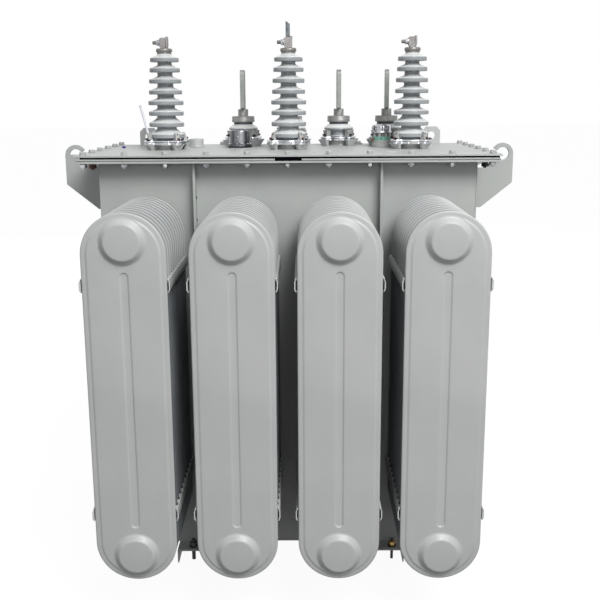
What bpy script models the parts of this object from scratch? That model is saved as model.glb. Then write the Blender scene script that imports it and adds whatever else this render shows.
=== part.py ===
"""Oil-filled power transformer with plate radiators on both long sides.

Metres, +Z up. The origin is on the ground under the middle of the tank, +X runs
along the row of radiators and -Y is the side that faces the viewer.
"""

from math import asin, cos, pi, radians, sin

import bmesh
import bpy

GAP = 0.0003  # between pieces that touch
OVERRUN = 0.004  # of a shape that is joined into another, past the joint face
WELD = 0.00001
AXIS_MERGE = 0.0001
SHARP_EDGE = radians(35)

# Base
BASE_HEIGHT = 0.065
BASE_WIDTH = 0.160
BASE_INSET = 0.3605  # of a channel's centre line from the tank's end
BASE_OVERHANG = 0.080  # past the tank's front and back walls
BASE_WEB = 0.008
BASE_LEG = 0.008

# Tank
TANK_LENGTH = 1.583
TANK_DEPTH = 0.710
TANK_WALL = 0.008
TANK_FLOOR = 0.010
TANK_WALL_HEIGHT = 1.7169
STIFFENER_DEPTH = 0.050
STIFFENER_WIDTH = 0.013

# Rim and cover
RIM_END_OVERHANG = 0.0865
RIM_SIDE_OVERHANG = 0.090
RIM_THICKNESS = 0.008
RIM_SETBACK = 0.010  # of its ends behind the cover's
STOP_WIDTH = 0.012
STOP_HEIGHT = 0.010
STOP_BREAK_LEFT = -0.052
STOP_BREAK_RIGHT = 0.058
GASKET_HEIGHT = 0.0168
GASKET_SETBACK = 0.014
COVER_THICKNESS = 0.008

# Radiators
RADIATOR_END_MARGIN = 0.2065  # from the tank's end to the middle of the outermost radiator
RADIATOR_LEAST_GAP = 0.065  # between the panels of neighbouring radiators
PANELS = 11
PANEL_PITCH = 0.0518
PANEL_WIDTH = 0.310
PANEL_THICKNESS = 0.010
PANEL_SEAM = 0.018
PANEL_SEAM_THICKNESS = 0.004
PANEL_END = 0.106  # from a header's centre to the end of the panel
PANEL_ARC_SIDES = 4
FRONT_ARC_SIDES = 8
HEADER_DROP = 0.2388  # of the upper header's centre below the top of the tank's wall
HEADER_RISE = 0.2568  # of the lower header's centre above the foot of the tank's wall
HEADER_RADIUS = 0.044
HEADER_SIDES = 6
BOSS_HEIGHT = 0.019
BOSS_RADIUS = 0.086
BOSS_TOP_RADIUS = 0.0665
BOSS_SIDES = 12
GROOVE_WIDTH = 0.036
GROOVE_DEPTH = 0.004
GROOVE_TO_BOSS = 0.024
RADIATOR_STAND_OFF = 0.100  # from the tank's wall to the nearest panel
COMB_HEIGHT = 0.046
COMB_THICKNESS = 0.004
COMB_TO_HEADER = 0.1626
COMB_CLEARANCE = 0.004
COMB_HOOK = 0.010
PIPE_FLANGE_RADIUS = 0.072
PIPE_FLANGE_THICKNESS = 0.012
PIPE_STUB_SHARE = 0.45

# Lifting hooks at the tank's ends
HOOK_THICKNESS = 0.018
HOOK_PAST_RIM = 0.142
HOOK_EYE_RADIUS = 0.0285
HOOK_BAND = 0.019
HOOK_EYE_DROP = 0.025  # below the top of the cover
HOOK_MOUTH = radians(60)
HOOK_NOTCH = 0.055  # below the rim, at the tank's wall
HOOK_NOTCH_WIDTH = 0.0605
HOOK_RIM_CLEARANCE = 0.006
HOOK_UNDER_RIM = 0.0008
HOOK_DEPTH = 0.270
HOOK_SLANT_WIDTH = 0.141
HOOK_SLANT_HEIGHT = 0.114
HOOK_ARC_SIDES = 8
HOOK_EYE_SIDES = 10

# Lugs that lift the cover
LUG_TO_END = 0.1825
LUG_TO_BACK = 0.085
LUG_WIDTH = 0.087
LUG_HEIGHT = 0.0846
LUG_THICKNESS = 0.012
LUG_CHAMFER = 0.018
LUG_EYE_RADIUS = 0.019
LUG_EYE_HEIGHT = 0.042
LUG_EYE_SIDES = 12

# High-voltage bushings
RING_CLEARANCE = 0.0008  # of a clamp ring round the porcelain's foot
HV_TO_END = 0.325  # from the cover's end to the outer bushings
HV_TURRET_RADIUS = 0.0545
HV_TURRET_HEIGHT = 0.028
HV_RING_RADIUS = 0.0885
HV_RING_HEIGHT = 0.0155
HV_FOOT_RADIUS = 0.047
HV_SHEDS = 8
HV_SHED_PITCH = 0.0471
HV_FIRST_SHED = 0.0237  # underside of the lowest shed above the turret
HV_SHED_RIM = 0.0165
HV_SHED_RISE = 0.021
HV_SHED_RADIUS_LOW = 0.0795
HV_SHED_RADIUS_HIGH = 0.0645
HV_NECK_RADIUS_LOW = 0.0432
HV_NECK_RADIUS_HIGH = 0.0312
HV_CAP_RADIUS = 0.0362
HV_CAP_HEIGHT = 0.022
HV_TOP_NECK = 0.0015
HV_CLAMP_WIDTH = 0.037
HV_CLAMP_DEPTH = 0.034
HV_CLAMP_HEIGHT = 0.046
HV_JAW_WIDTH = 0.009
HV_JAW_RISE = 0.005
HV_SLOT_WIDTH = 0.0015
HV_SLOT_FLOOR = 0.012
HV_CLAMP_CORNER = 0.005
HV_BLADE_WIDTH = 0.019
HV_BLADE_THICKNESS = 0.010
HV_BLADE_HEIGHT = 0.070
HV_BLADE_SLANT = 0.0125
HV_BLADE_SHIFT = -0.0016
HV_BLADE_SUNK = 0.010
HV_SIDES = 12
HV_BLADED = 2  # the bushing whose terminal holds a flat bar

# Low-voltage bushings
LV_PITCH = 0.231
LV_FIRST = -0.225
LV_COUNT = 4
LV_TO_BACK = 0.145
LV_TURRET_RADIUS = 0.0536
LV_TURRET_HEIGHT = 0.0303
LV_RING_RADIUS = 0.0803
LV_RING_HEIGHT = 0.0144
LV_FOOT_RADIUS = 0.0468
LV_NECK_RADIUS = 0.0426
LV_NECK_TOP = 0.0455  # above the turret
LV_SHED_RADIUS = 0.0705
LV_SHED_RIM = 0.005
LV_SHED_TOP_RADIUS = 0.047
LV_SHED_HEIGHT = 0.026
LV_SEAL_HEIGHT = 0.0096
LV_SEAL_RADIUS = 0.0455
LV_CAP_RADIUS = 0.0546
LV_CAP_HEIGHT = 0.0285
LV_NUT_RADIUS = 0.0242
LV_NUT_HEIGHT = 0.0332
LV_BLADE_THICKNESS = 0.020
LV_BLADE_WIDTH = 0.100
LV_BLADE_HEIGHT = 0.183
LV_BLADE_CORNER = 0.022
LV_BLADE_CORNER_SIDES = 3
LV_SIDES = 12

# Folded legs round the collars of the bushings, under the ears of the clamp rings
LEGS = 4
LEG_TURN = radians(38)
LEG_SHEET = 0.005
LEG_FOOT = 0.037  # past the collar, at the cover
LEG_TOP = 0.049  # past the collar, under the clamp ring
LEG_FOOT_WIDTH = 0.034
LEG_TOP_WIDTH = 0.049
LEG_DROP = 0.001  # of its top under the collar's
LEG_DEPTH = 0.018  # of the folded sides, towards the collar
EAR_WIDTH = 0.050
HV_EAR_REACH = 0.1155
LV_EAR_REACH = 0.102
RING_ARC_SIDES = 3  # between two ears

# Fittings on the cover
TAP_X = -0.228
TAP_Y = 0.080
TAP_COLLAR_RADIUS = 0.052
TAP_COLLAR_HEIGHT = 0.0085
TAP_FLANGE_RADIUS = 0.0556
TAP_FLANGE_HEIGHT = 0.016
TAP_BODY_RADIUS = 0.0463
TAP_BODY_HEIGHT = 0.057
RELIEF_X = 0.4315
RELIEF_Y = 0.118
RELIEF_BASE_RADIUS = 0.046
RELIEF_BASE_HEIGHT = 0.0245
RELIEF_LIP_HEIGHT = 0.011
RELIEF_RING_RADIUS = 0.041
RELIEF_RING_HEIGHT = 0.016
RELIEF_NECK_RADIUS = 0.036
RELIEF_NECK_HEIGHT = 0.0185
RELIEF_HEAD_RADIUS = 0.0455
RELIEF_HEAD_HEIGHT = 0.0325
FILLER_X = -0.444
FILLER_Y = 0.200
FILLER_RADIUS = 0.036
FILLER_HEIGHT = 0.038
FILLER_NECK_RADIUS = 0.030
FILLER_CAP_HEIGHT = 0.016
FITTING_SIDES = 12

# Levels, from the ground up
FLOOR_Z = BASE_HEIGHT + GAP
WALL_Z = FLOOR_Z + TANK_FLOOR + GAP
RIM_Z = WALL_Z + TANK_WALL_HEIGHT + GAP
GASKET_Z = RIM_Z + RIM_THICKNESS + GAP
COVER_Z = GASKET_Z + GASKET_HEIGHT + GAP
COVER_TOP = COVER_Z + COVER_THICKNESS
PANEL_STACK = (PANELS - 1) * PANEL_PITCH
RIM_END = TANK_LENGTH / 2 + RIM_END_OVERHANG
RIM_SIDE = TANK_DEPTH / 2 + RIM_SIDE_OVERHANG
RIM_OUTER = RIM_END - RIM_SETBACK
RADIATOR_SPAN = TANK_LENGTH - 2 * RADIATOR_END_MARGIN
RADIATOR_STEPS = int(RADIATOR_SPAN / (PANEL_WIDTH + RADIATOR_LEAST_GAP))
RADIATOR_PITCH = RADIATOR_SPAN / RADIATOR_STEPS
HEADER_LOW = WALL_Z + HEADER_RISE
HEADER_HIGH = WALL_Z + TANK_WALL_HEIGHT - HEADER_DROP
HEADER_SPACING = HEADER_HIGH - HEADER_LOW
HEADER_MIDDLE = (HEADER_LOW + HEADER_HIGH) / 2
HV_PITCH = RIM_END - HV_TO_END


def new_collection(name):
    collection = bpy.data.collections.new(name)
    bpy.context.scene.collection.children.link(collection)
    return collection


def new_material(name, colour, roughness, metallic):
    material = bpy.data.materials.new(name)
    material.use_nodes = True
    surface = material.node_tree.nodes["Principled BSDF"]
    surface.inputs["Base Color"].default_value = (*colour, 1)
    surface.inputs["Roughness"].default_value = roughness
    surface.inputs["Metallic"].default_value = metallic
    material.diffuse_color = (*colour, 1)
    return material


def new_object(name, mesh, material, collection):
    obj = bpy.data.objects.new(name, mesh)
    if not mesh.materials:
        mesh.materials.append(material)
    collection.objects.link(obj)
    if collection is CUTTERS:
        obj.hide_render = True
        obj.display_type = "WIRE"
    return obj


def add_box(name, low, high, material, collection=None):
    """A box between two opposite corners."""
    mesh = bpy.data.meshes.new(name)
    shape = bmesh.new()
    bmesh.ops.create_cube(shape, size=1)
    for vertex in shape.verts:
        for axis in range(3):
            middle = (low[axis] + high[axis]) / 2
            vertex.co[axis] = middle + vertex.co[axis] * (high[axis] - low[axis])
    shape.to_mesh(mesh)
    shape.free()
    return new_object(name, mesh, material, collection or PARTS)


def add_outline(name, outlines, thickness, material, turn=(pi / 2, 0, 0), collection=None):
    """A flat plate with the given closed outlines, the first one its edge and the rest its holes."""
    curve = bpy.data.curves.new(name, "CURVE")
    curve.dimensions = "2D"
    curve.fill_mode = "BOTH"
    curve.extrude = thickness / 2
    for outline in outlines:
        spline = curve.splines.new("POLY")
        spline.points.add(len(outline) - 1)
        for point, (x, y) in zip(spline.points, outline):
            point.co = (x, y, 0, 1)
        spline.use_cyclic_u = True
    drawn = bpy.data.objects.new(name + "_outline", curve)
    CUTTERS.objects.link(drawn)
    drawn.rotation_euler = turn
    bpy.context.view_layer.update()
    graph = bpy.context.evaluated_depsgraph_get()
    mesh = bpy.data.meshes.new_from_object(drawn.evaluated_get(graph))
    mesh.name = name
    shape = bmesh.new()
    shape.from_mesh(mesh)
    bmesh.ops.remove_doubles(shape, verts=shape.verts, dist=WELD)
    bmesh.ops.recalc_face_normals(shape, faces=shape.faces)
    shape.to_mesh(mesh)
    shape.free()
    mesh.transform(drawn.matrix_world)
    bpy.data.objects.remove(drawn)
    return new_object(name, mesh, material, collection or PARTS)


def add_turned(name, profile, sides, material, place):
    """A profile of (radius, height) points, top to bottom down its outer side, turned about Z."""
    mesh = bpy.data.meshes.new(name)
    shape = bmesh.new()
    corners = [shape.verts.new((radius, 0, height)) for radius, height in profile]
    for first, second in zip(corners, corners[1:]):
        shape.edges.new((first, second))
    shape.to_mesh(mesh)
    shape.free()
    obj = new_object(name, mesh, material, PARTS)
    obj.location = place
    screw = obj.modifiers.new("Turn", "SCREW")
    screw.steps = sides
    screw.render_steps = sides
    screw.use_merge_vertices = True
    screw.merge_threshold = AXIS_MERGE
    screw.use_smooth_shade = True
    return obj


def add_cylinder(name, radii, length, sides, material, place, turn=(0, 0, 0), collection=None):
    """A cylinder or cone that starts at its place and runs along its own Z."""
    mesh = bpy.data.meshes.new(name)
    shape = bmesh.new()
    bmesh.ops.create_cone(
        shape, cap_ends=True, segments=sides, radius1=radii[0], radius2=radii[1], depth=length
    )
    bmesh.ops.translate(shape, vec=(0, 0, length / 2), verts=shape.verts)
    shape.to_mesh(mesh)
    shape.free()
    obj = new_object(name, mesh, material, collection or PARTS)
    obj.location = place
    obj.rotation_euler = turn
    return obj


def add_boolean(target, tool, operation):
    modifier = target.modifiers.new(tool.name, "BOOLEAN")
    modifier.operation = operation
    modifier.solver = "EXACT"
    modifier.object = tool


def settle(obj):
    """The mesh of an object with its modifiers and its place applied; the object is removed."""
    bpy.context.view_layer.update()
    graph = bpy.context.evaluated_depsgraph_get()
    mesh = bpy.data.meshes.new_from_object(obj.evaluated_get(graph))
    mesh.transform(obj.matrix_world)
    bpy.data.objects.remove(obj)
    return mesh


def smooth_round(mesh):
    mesh.shade_smooth()
    mesh.set_sharp_from_angle(angle=SHARP_EDGE)


def arc(centre, radius, start, end, sides):
    """Points on an arc, both ends included."""
    turns = [start + (end - start) * step / sides for step in range(sides + 1)]
    return [(centre[0] + radius * cos(turn), centre[1] + radius * sin(turn)) for turn in turns]


def long_round(width, height, sides):
    """A panel's outline: straight sides between two half-round ends, about its own middle."""
    radius = width / 2
    straight = height / 2 - radius
    top = arc((0, straight), radius, 0, pi, sides)
    bottom = arc((0, -straight), radius, pi, 2 * pi, sides)
    return top + bottom


def mirrored(outline):
    return [(-x, y) for x, y in reversed(outline)]


def build_base():
    """Two inverted channels that run front to back under the tank."""
    reach = TANK_DEPTH + 2 * BASE_OVERHANG
    half = BASE_WIDTH / 2
    inside = half - BASE_LEG
    under = BASE_HEIGHT - BASE_WEB
    outline = [
        (-half, 0), (-inside, 0), (-inside, under), (inside, under),
        (inside, 0), (half, 0), (half, BASE_HEIGHT), (-half, BASE_HEIGHT),
    ]
    for name, side in (("left", -1), ("right", 1)):
        beam = add_outline(f"base_channel_{name}", [outline], reach, STEEL_GREY)
        beam.location.x = side * (TANK_LENGTH / 2 - BASE_INSET)


def build_tank_ends():
    """The floor plate and the two end walls, which stand between the long walls."""
    half_length = TANK_LENGTH / 2
    half_depth = TANK_DEPTH / 2
    add_box(
        "tank_floor",
        (-half_length, -half_depth, FLOOR_Z),
        (half_length, half_depth, FLOOR_Z + TANK_FLOOR),
        STEEL_GREY,
    )
    inside = half_depth - TANK_WALL - GAP
    for name, side in (("left", -1), ("right", 1)):
        near, far = sorted((side * (half_length - TANK_WALL), side * half_length))
        add_box(
            f"tank_{name}_wall",
            (near, -inside, WALL_Z),
            (far, inside, WALL_Z + TANK_WALL_HEIGHT),
            STEEL_GREY,
        )


def radiator_places():
    return [index * RADIATOR_PITCH - RADIATOR_SPAN / 2 for index in range(RADIATOR_STEPS + 1)]


def stiffener_places():
    """Midway between the two radiators of each end."""
    reach = (RADIATOR_SPAN - RADIATOR_PITCH) / 2
    return [-reach, reach]


def header_levels():
    return HEADER_LOW, HEADER_HIGH


def stub_length():
    """How far a header's stub stands out from the tank's wall, flange included."""
    return RADIATOR_STAND_OFF * PIPE_STUB_SHARE


def build_long_wall(name, side):
    """A long wall with its flat stiffeners and the flanged stubs that carry the radiators."""
    face = TANK_DEPTH / 2
    half_length = TANK_LENGTH / 2
    top = WALL_Z + TANK_WALL_HEIGHT
    wall = add_box(
        name, (-half_length, -face, WALL_Z), (half_length, -face + TANK_WALL, top), STEEL_GREY
    )
    for x in stiffener_places():
        bar = add_box(
            f"{name}_stiffener",
            (x - STIFFENER_WIDTH / 2, -face - STIFFENER_DEPTH, WALL_Z),
            (x + STIFFENER_WIDTH / 2, -face + TANK_WALL / 2, top),
            STEEL_GREY,
            CUTTERS,
        )
        add_boolean(wall, bar, "UNION")
    lean = (pi / 2, 0, 0)
    for x in radiator_places():
        for z in header_levels():
            pipe = add_cylinder(
                f"{name}_stub", (HEADER_RADIUS, HEADER_RADIUS), stub_length() + OVERRUN / 2,
                HEADER_SIDES, STEEL_GREY, (x, -face + OVERRUN, z), lean, CUTTERS,
            )
            flange = add_cylinder(
                f"{name}_flange", (PIPE_FLANGE_RADIUS, PIPE_FLANGE_RADIUS), PIPE_FLANGE_THICKNESS,
                HEADER_SIDES, STEEL_GREY,
                (x, -face - stub_length() + PIPE_FLANGE_THICKNESS, z), lean, CUTTERS,
            )
            add_boolean(wall, pipe, "UNION")
            add_boolean(wall, flange, "UNION")
    if side > 0:
        mesh = settle(wall)
        wall = new_object(name, mesh, STEEL_GREY, PARTS)
        wall.rotation_euler.z = pi
    return wall


def add_frame(name, outer, inner, low, high, material, collection=None):
    """A flat rectangular ring between two levels."""
    outlines = [
        [(-x, -y), (x, -y), (x, y), (-x, y)] for x, y in (outer, inner)
    ]
    ring = add_outline(name, outlines, high - low, material, (0, 0, 0), collection)
    ring.location.z = (low + high) / 2
    return ring


def add_rim_bar(name, low, high, strips):
    """One flat bar of the rim with the stop strips that stand along its outer edges."""
    top = RIM_Z + RIM_THICKNESS
    bar = add_box(name, (*low, RIM_Z), (*high, top), STEEL_GREY)
    for start, end in strips:
        strip = add_box(
            name + "_strip", (*start, top - OVERRUN), (*end, top + STOP_HEIGHT), STEEL_GREY, CUTTERS
        )
        add_boolean(bar, strip, "UNION")
    return bar


def build_rim():
    """The flange round the tank's mouth in four bars, and the gasket that lies on it."""
    mouth = (TANK_LENGTH / 2 - TANK_WALL, TANK_DEPTH / 2 - TANK_WALL)
    stop = (RIM_OUTER - STOP_WIDTH, RIM_SIDE - STOP_WIDTH)
    front = add_rim_bar(
        "tank_rim_front", (-RIM_OUTER, -RIM_SIDE), (RIM_OUTER, -mouth[1]),
        [((-RIM_OUTER, -RIM_SIDE), (RIM_OUTER, -stop[1])),
         ((-RIM_OUTER, -RIM_SIDE), (-stop[0], -mouth[1])),
         ((stop[0], -RIM_SIDE), (RIM_OUTER, -mouth[1]))],
    )
    gate = add_box(
        "tank_rim_break",
        (STOP_BREAK_LEFT, -RIM_SIDE - OVERRUN, RIM_Z + RIM_THICKNESS),
        (STOP_BREAK_RIGHT, OVERRUN - stop[1], COVER_Z),
        STEEL_GREY, CUTTERS,
    )
    add_boolean(front, gate, "DIFFERENCE")
    add_rim_bar(
        "tank_rim_back", (-RIM_OUTER, mouth[1]), (RIM_OUTER, RIM_SIDE),
        [((-RIM_OUTER, stop[1]), (RIM_OUTER, RIM_SIDE)),
         ((-RIM_OUTER, mouth[1]), (-stop[0], RIM_SIDE)),
         ((stop[0], mouth[1]), (RIM_OUTER, RIM_SIDE))],
    )
    inside = mouth[1] - GAP
    for name, near, far in (("left", -RIM_OUTER, -mouth[0]), ("right", mouth[0], RIM_OUTER)):
        edge = sorted((near, -stop[0]) if name == "left" else (stop[0], far))
        add_rim_bar(
            f"tank_rim_{name}", (near, -inside), (far, inside),
            [((edge[0], -inside), (edge[1], inside))],
        )
    seat = (RIM_OUTER - GASKET_SETBACK, RIM_SIDE - GASKET_SETBACK)
    add_frame("cover_gasket", seat, mouth, GASKET_Z, GASKET_Z + GASKET_HEIGHT, RUBBER)


def hv_places():
    return [(step * HV_PITCH, 0) for step in (-1, 0, 1)]


def lv_places():
    return [(LV_FIRST + step * LV_PITCH, RIM_SIDE - LV_TO_BACK) for step in range(LV_COUNT)]


def leg_section(inner, outer, width):
    """A channel's section seen from above, open towards the collar."""
    half = width / 2
    within = half - LEG_SHEET
    return [
        (inner, -half), (outer, -half), (outer, half), (inner, half),
        (inner, within), (outer - LEG_SHEET, within), (outer - LEG_SHEET, -within),
        (inner, -within),
    ]


def add_leg(radius, height):
    """A leg of folded sheet that leans outwards and widens from the cover to the clamp ring."""
    foot = radius + LEG_FOOT
    top = radius + LEG_TOP
    sections = (
        (-OVERRUN / 2, leg_section(foot - LEG_DEPTH, foot, LEG_FOOT_WIDTH)),
        (height, leg_section(top - LEG_DEPTH, top, LEG_TOP_WIDTH)),
    )
    mesh = bpy.data.meshes.new("tank_cover_leg")
    shape = bmesh.new()
    below, above = [
        [shape.verts.new((x, y, z)) for x, y in section] for z, section in sections
    ]
    shape.faces.new(below)
    shape.faces.new(above)
    for step, corner in enumerate(below):
        shape.faces.new((corner, below[step - 1], above[step - 1], above[step]))
    bmesh.ops.recalc_face_normals(shape, faces=shape.faces)
    shape.to_mesh(mesh)
    shape.free()
    return new_object("tank_cover_leg", mesh, COVER_GREY, CUTTERS)


def build_cover():
    """The cover plate with the collars and legs that its bushings and tap changer stand on."""
    cover = add_box(
        "tank_cover",
        (-RIM_END, -RIM_SIDE, COVER_Z),
        (RIM_END, RIM_SIDE, COVER_TOP),
        COVER_GREY,
    )
    turrets = [(place, HV_TURRET_RADIUS, HV_TURRET_HEIGHT) for place in hv_places()]
    turrets += [(place, LV_TURRET_RADIUS, LV_TURRET_HEIGHT) for place in lv_places()]
    collars = turrets + [((TAP_X, TAP_Y), TAP_COLLAR_RADIUS, TAP_COLLAR_HEIGHT)]
    for (x, y), radius, height in collars:
        collar = add_cylinder(
            "tank_cover_collar", (radius, radius), height + OVERRUN, FITTING_SIDES,
            COVER_GREY, (x, y, COVER_TOP - OVERRUN), (0, 0, 0), CUTTERS,
        )
        add_boolean(cover, collar, "UNION")
    for (x, y), radius, height in turrets:
        for step in range(LEGS):
            leg = add_leg(radius, height - LEG_DROP)
            leg.location = (x, y, COVER_TOP)
            leg.rotation_euler.z = LEG_TURN + step * 2 * pi / LEGS
            add_boolean(cover, leg, "UNION")


def build_hooks():
    """The lifting hooks: one upright plate in the middle of each end, open towards the tank."""
    wall = TANK_LENGTH / 2 + GAP
    outer = RIM_END + HOOK_PAST_RIM
    radius = HOOK_EYE_RADIUS + HOOK_BAND
    centre = (outer - radius, COVER_TOP - HOOK_EYE_DROP)
    low = COVER_TOP - HOOK_DEPTH
    notch = RIM_Z - HOOK_NOTCH
    under_rim = RIM_Z - HOOK_UNDER_RIM
    inboard = RIM_END + HOOK_RIM_CLEARANCE
    notch_end = TANK_LENGTH / 2 + HOOK_NOTCH_WIDTH
    tip = pi - HOOK_MOUTH / 2
    sill = (inboard, centre[1] - HOOK_EYE_RADIUS * sin(HOOK_MOUTH / 2))
    outline = [
        (wall, low),
        (outer - HOOK_SLANT_WIDTH, low),
        (outer, low + HOOK_SLANT_HEIGHT),
    ]
    outline += arc(centre, radius, 0, tip, HOOK_ARC_SIDES)
    outline += arc(centre, HOOK_EYE_RADIUS, tip, -tip, HOOK_EYE_SIDES)
    outline += [
        sill, (inboard, under_rim), (notch_end, under_rim), (notch_end, notch), (wall, notch)
    ]
    add_outline("lifting_hook_right", [outline], HOOK_THICKNESS, STEEL_GREY)
    add_outline("lifting_hook_left", [mirrored(outline)], HOOK_THICKNESS, STEEL_GREY)


def build_lugs():
    """The two eyed plates near the back edge that lift the cover by itself."""
    half = LUG_WIDTH / 2
    outline = [
        (-half, 0), (half, 0), (half, LUG_HEIGHT - LUG_CHAMFER), (half - LUG_CHAMFER, LUG_HEIGHT),
        (LUG_CHAMFER - half, LUG_HEIGHT), (-half, LUG_HEIGHT - LUG_CHAMFER),
    ]
    eye = arc((0, LUG_EYE_HEIGHT), LUG_EYE_RADIUS, 0, 2 * pi, LUG_EYE_SIDES)[:-1]
    for name, side in (("left", -1), ("right", 1)):
        lug = add_outline(f"cover_lug_{name}", [outline, eye], LUG_THICKNESS, COVER_GREY)
        lug.location = (side * (RIM_END - LUG_TO_END), RIM_SIDE - LUG_TO_BACK, COVER_TOP + GAP)


def front_panel(y, height):
    """The outermost panel: seam, raised field with its long groove, and the two header bosses."""
    front = y - PANEL_THICKNESS / 2
    panel = add_outline(
        "radiator", [long_round(PANEL_WIDTH, height, FRONT_ARC_SIDES)],
        PANEL_SEAM_THICKNESS, STEEL_GREY, collection=CUTTERS,
    )
    panel.location = (0, y, HEADER_MIDDLE)
    field = add_outline(
        "radiator_field",
        [long_round(PANEL_WIDTH - 2 * PANEL_SEAM, height - 2 * PANEL_SEAM, FRONT_ARC_SIDES)],
        PANEL_THICKNESS / 2 + PANEL_SEAM_THICKNESS / 4, STEEL_GREY, collection=CUTTERS,
    )
    field.location = (0, y - PANEL_THICKNESS / 4 + PANEL_SEAM_THICKNESS / 8, HEADER_MIDDLE)
    add_boolean(panel, field, "UNION")
    end = HEADER_SPACING / 2 - BOSS_RADIUS - GROOVE_TO_BOSS
    groove = add_box(
        "radiator_groove",
        (-GROOVE_WIDTH / 2, front - OVERRUN, HEADER_MIDDLE - end),
        (GROOVE_WIDTH / 2, front + GROOVE_DEPTH, HEADER_MIDDLE + end),
        STEEL_GREY, CUTTERS,
    )
    add_boolean(panel, groove, "DIFFERENCE")
    for z in header_levels():
        boss = add_cylinder(
            "radiator_boss", (BOSS_RADIUS, BOSS_TOP_RADIUS), BOSS_HEIGHT + PANEL_THICKNESS / 2,
            BOSS_SIDES, STEEL_GREY, (0, y, z), (pi / 2, 0, 0), CUTTERS,
        )
        add_boolean(panel, boss, "UNION")
    return panel


def build_radiators():
    """Plate radiators: a stack of long round-ended panels on two header pipes.

    The stack is made once, about the place of its own middle, and each radiator
    shares that mesh; those at the back are turned half round.
    """
    height = HEADER_SPACING + 2 * PANEL_END
    last = -TANK_DEPTH / 2 - RADIATOR_STAND_OFF
    first = last - PANEL_STACK
    stack = front_panel(first, height)
    for index in range(1, PANELS):
        panel = add_outline(
            "radiator_panel", [long_round(PANEL_WIDTH, height, PANEL_ARC_SIDES)],
            PANEL_THICKNESS, STEEL_GREY, collection=CUTTERS,
        )
        panel.location = (0, first + index * PANEL_PITCH, HEADER_MIDDLE)
        add_boolean(stack, panel, "UNION")
    joint = -TANK_DEPTH / 2 - stub_length() - GAP
    for z in header_levels():
        pipe = add_cylinder(
            "radiator_header", (HEADER_RADIUS, HEADER_RADIUS), joint - first, HEADER_SIDES,
            STEEL_GREY, (0, joint, z), (pi / 2, 0, 0), CUTTERS,
        )
        flange = add_cylinder(
            "radiator_flange", (PIPE_FLANGE_RADIUS, PIPE_FLANGE_RADIUS), PIPE_FLANGE_THICKNESS,
            HEADER_SIDES, STEEL_GREY, (0, joint, z), (pi / 2, 0, 0), CUTTERS,
        )
        add_boolean(stack, pipe, "UNION")
        add_boolean(stack, flange, "UNION")
    edge = PANEL_WIDTH / 2
    for z in (HEADER_LOW + COMB_TO_HEADER, HEADER_HIGH - COMB_TO_HEADER):
        low = z - COMB_HEIGHT / 2
        high = z + COMB_HEIGHT / 2
        for side in (-1, 1):
            near, far = sorted(
                (side * (edge + COMB_CLEARANCE), side * (edge + COMB_CLEARANCE + COMB_THICKNESS))
            )
            strap = add_box("radiator_comb", (near, first, low), (far, last, high),
                            STEEL_GREY, CUTTERS)
            add_boolean(stack, strap, "UNION")
            inner, outer = sorted((side * (edge - COMB_HOOK), far if side > 0 else near))
            for y in (first, last):
                hook = add_box(
                    "radiator_comb_end",
                    (inner, y - COMB_THICKNESS, low), (outer, y + COMB_THICKNESS, high),
                    STEEL_GREY, CUTTERS,
                )
                add_boolean(stack, hook, "UNION")
    mesh = settle(stack)
    smooth_round(mesh)
    for row, turn in (("front", 0), ("back", pi)):
        for number, x in enumerate(radiator_places(), 1):
            radiator = new_object(f"radiator_{row}_{number}", mesh, STEEL_GREY, PARTS)
            radiator.location.x = x
            radiator.rotation_euler.z = turn


def add_clamp_ring(name, foot_radius, radius, ear_reach, height, sides, place):
    """A flat ring round a bushing's foot, with an ear over each leg."""
    half = EAR_WIDTH / 2
    slope = asin(half / radius)
    outline = []
    for step in range(LEGS):
        turn = LEG_TURN + step * 2 * pi / LEGS
        outline += [
            (ear_reach * cos(turn) - y * sin(turn), ear_reach * sin(turn) + y * cos(turn))
            for y in (-half, half)
        ]
        outline += arc(
            (0, 0), radius, turn + slope, turn + 2 * pi / LEGS - slope, RING_ARC_SIDES
        )
    hole = arc((0, 0), foot_radius + RING_CLEARANCE, 0, 2 * pi, sides)[:-1]
    ring = add_outline(name, [outline, hole], height, ZINC, (0, 0, 0))
    ring.location = (place[0], place[1], place[2] + height / 2)


def shed_radii(index):
    """Rim and neck radius of one shed, counted from the lowest."""
    share = index / (HV_SHEDS - 1)
    rim = HV_SHED_RADIUS_LOW + share * (HV_SHED_RADIUS_HIGH - HV_SHED_RADIUS_LOW)
    neck = HV_NECK_RADIUS_LOW + share * (HV_NECK_RADIUS_HIGH - HV_NECK_RADIUS_LOW)
    return rim, neck


def hv_profile():
    """The porcelain of a high-voltage bushing above its collar, top to bottom."""
    top = HV_FIRST_SHED + (HV_SHEDS - 1) * HV_SHED_PITCH + HV_SHED_RIM + HV_SHED_RISE
    profile = [(0, top + HV_TOP_NECK), (HV_NECK_RADIUS_HIGH, top + HV_TOP_NECK)]
    for index in reversed(range(HV_SHEDS)):
        rim, neck = shed_radii(index)
        under = HV_FIRST_SHED + index * HV_SHED_PITCH
        profile += [
            (neck, under + HV_SHED_RIM + HV_SHED_RISE),
            (rim, under + HV_SHED_RIM),
            (rim, under),
            (neck, under),
        ]
    profile += [(HV_FOOT_RADIUS, 0), (0, 0)]
    return profile, top + HV_TOP_NECK


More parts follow.
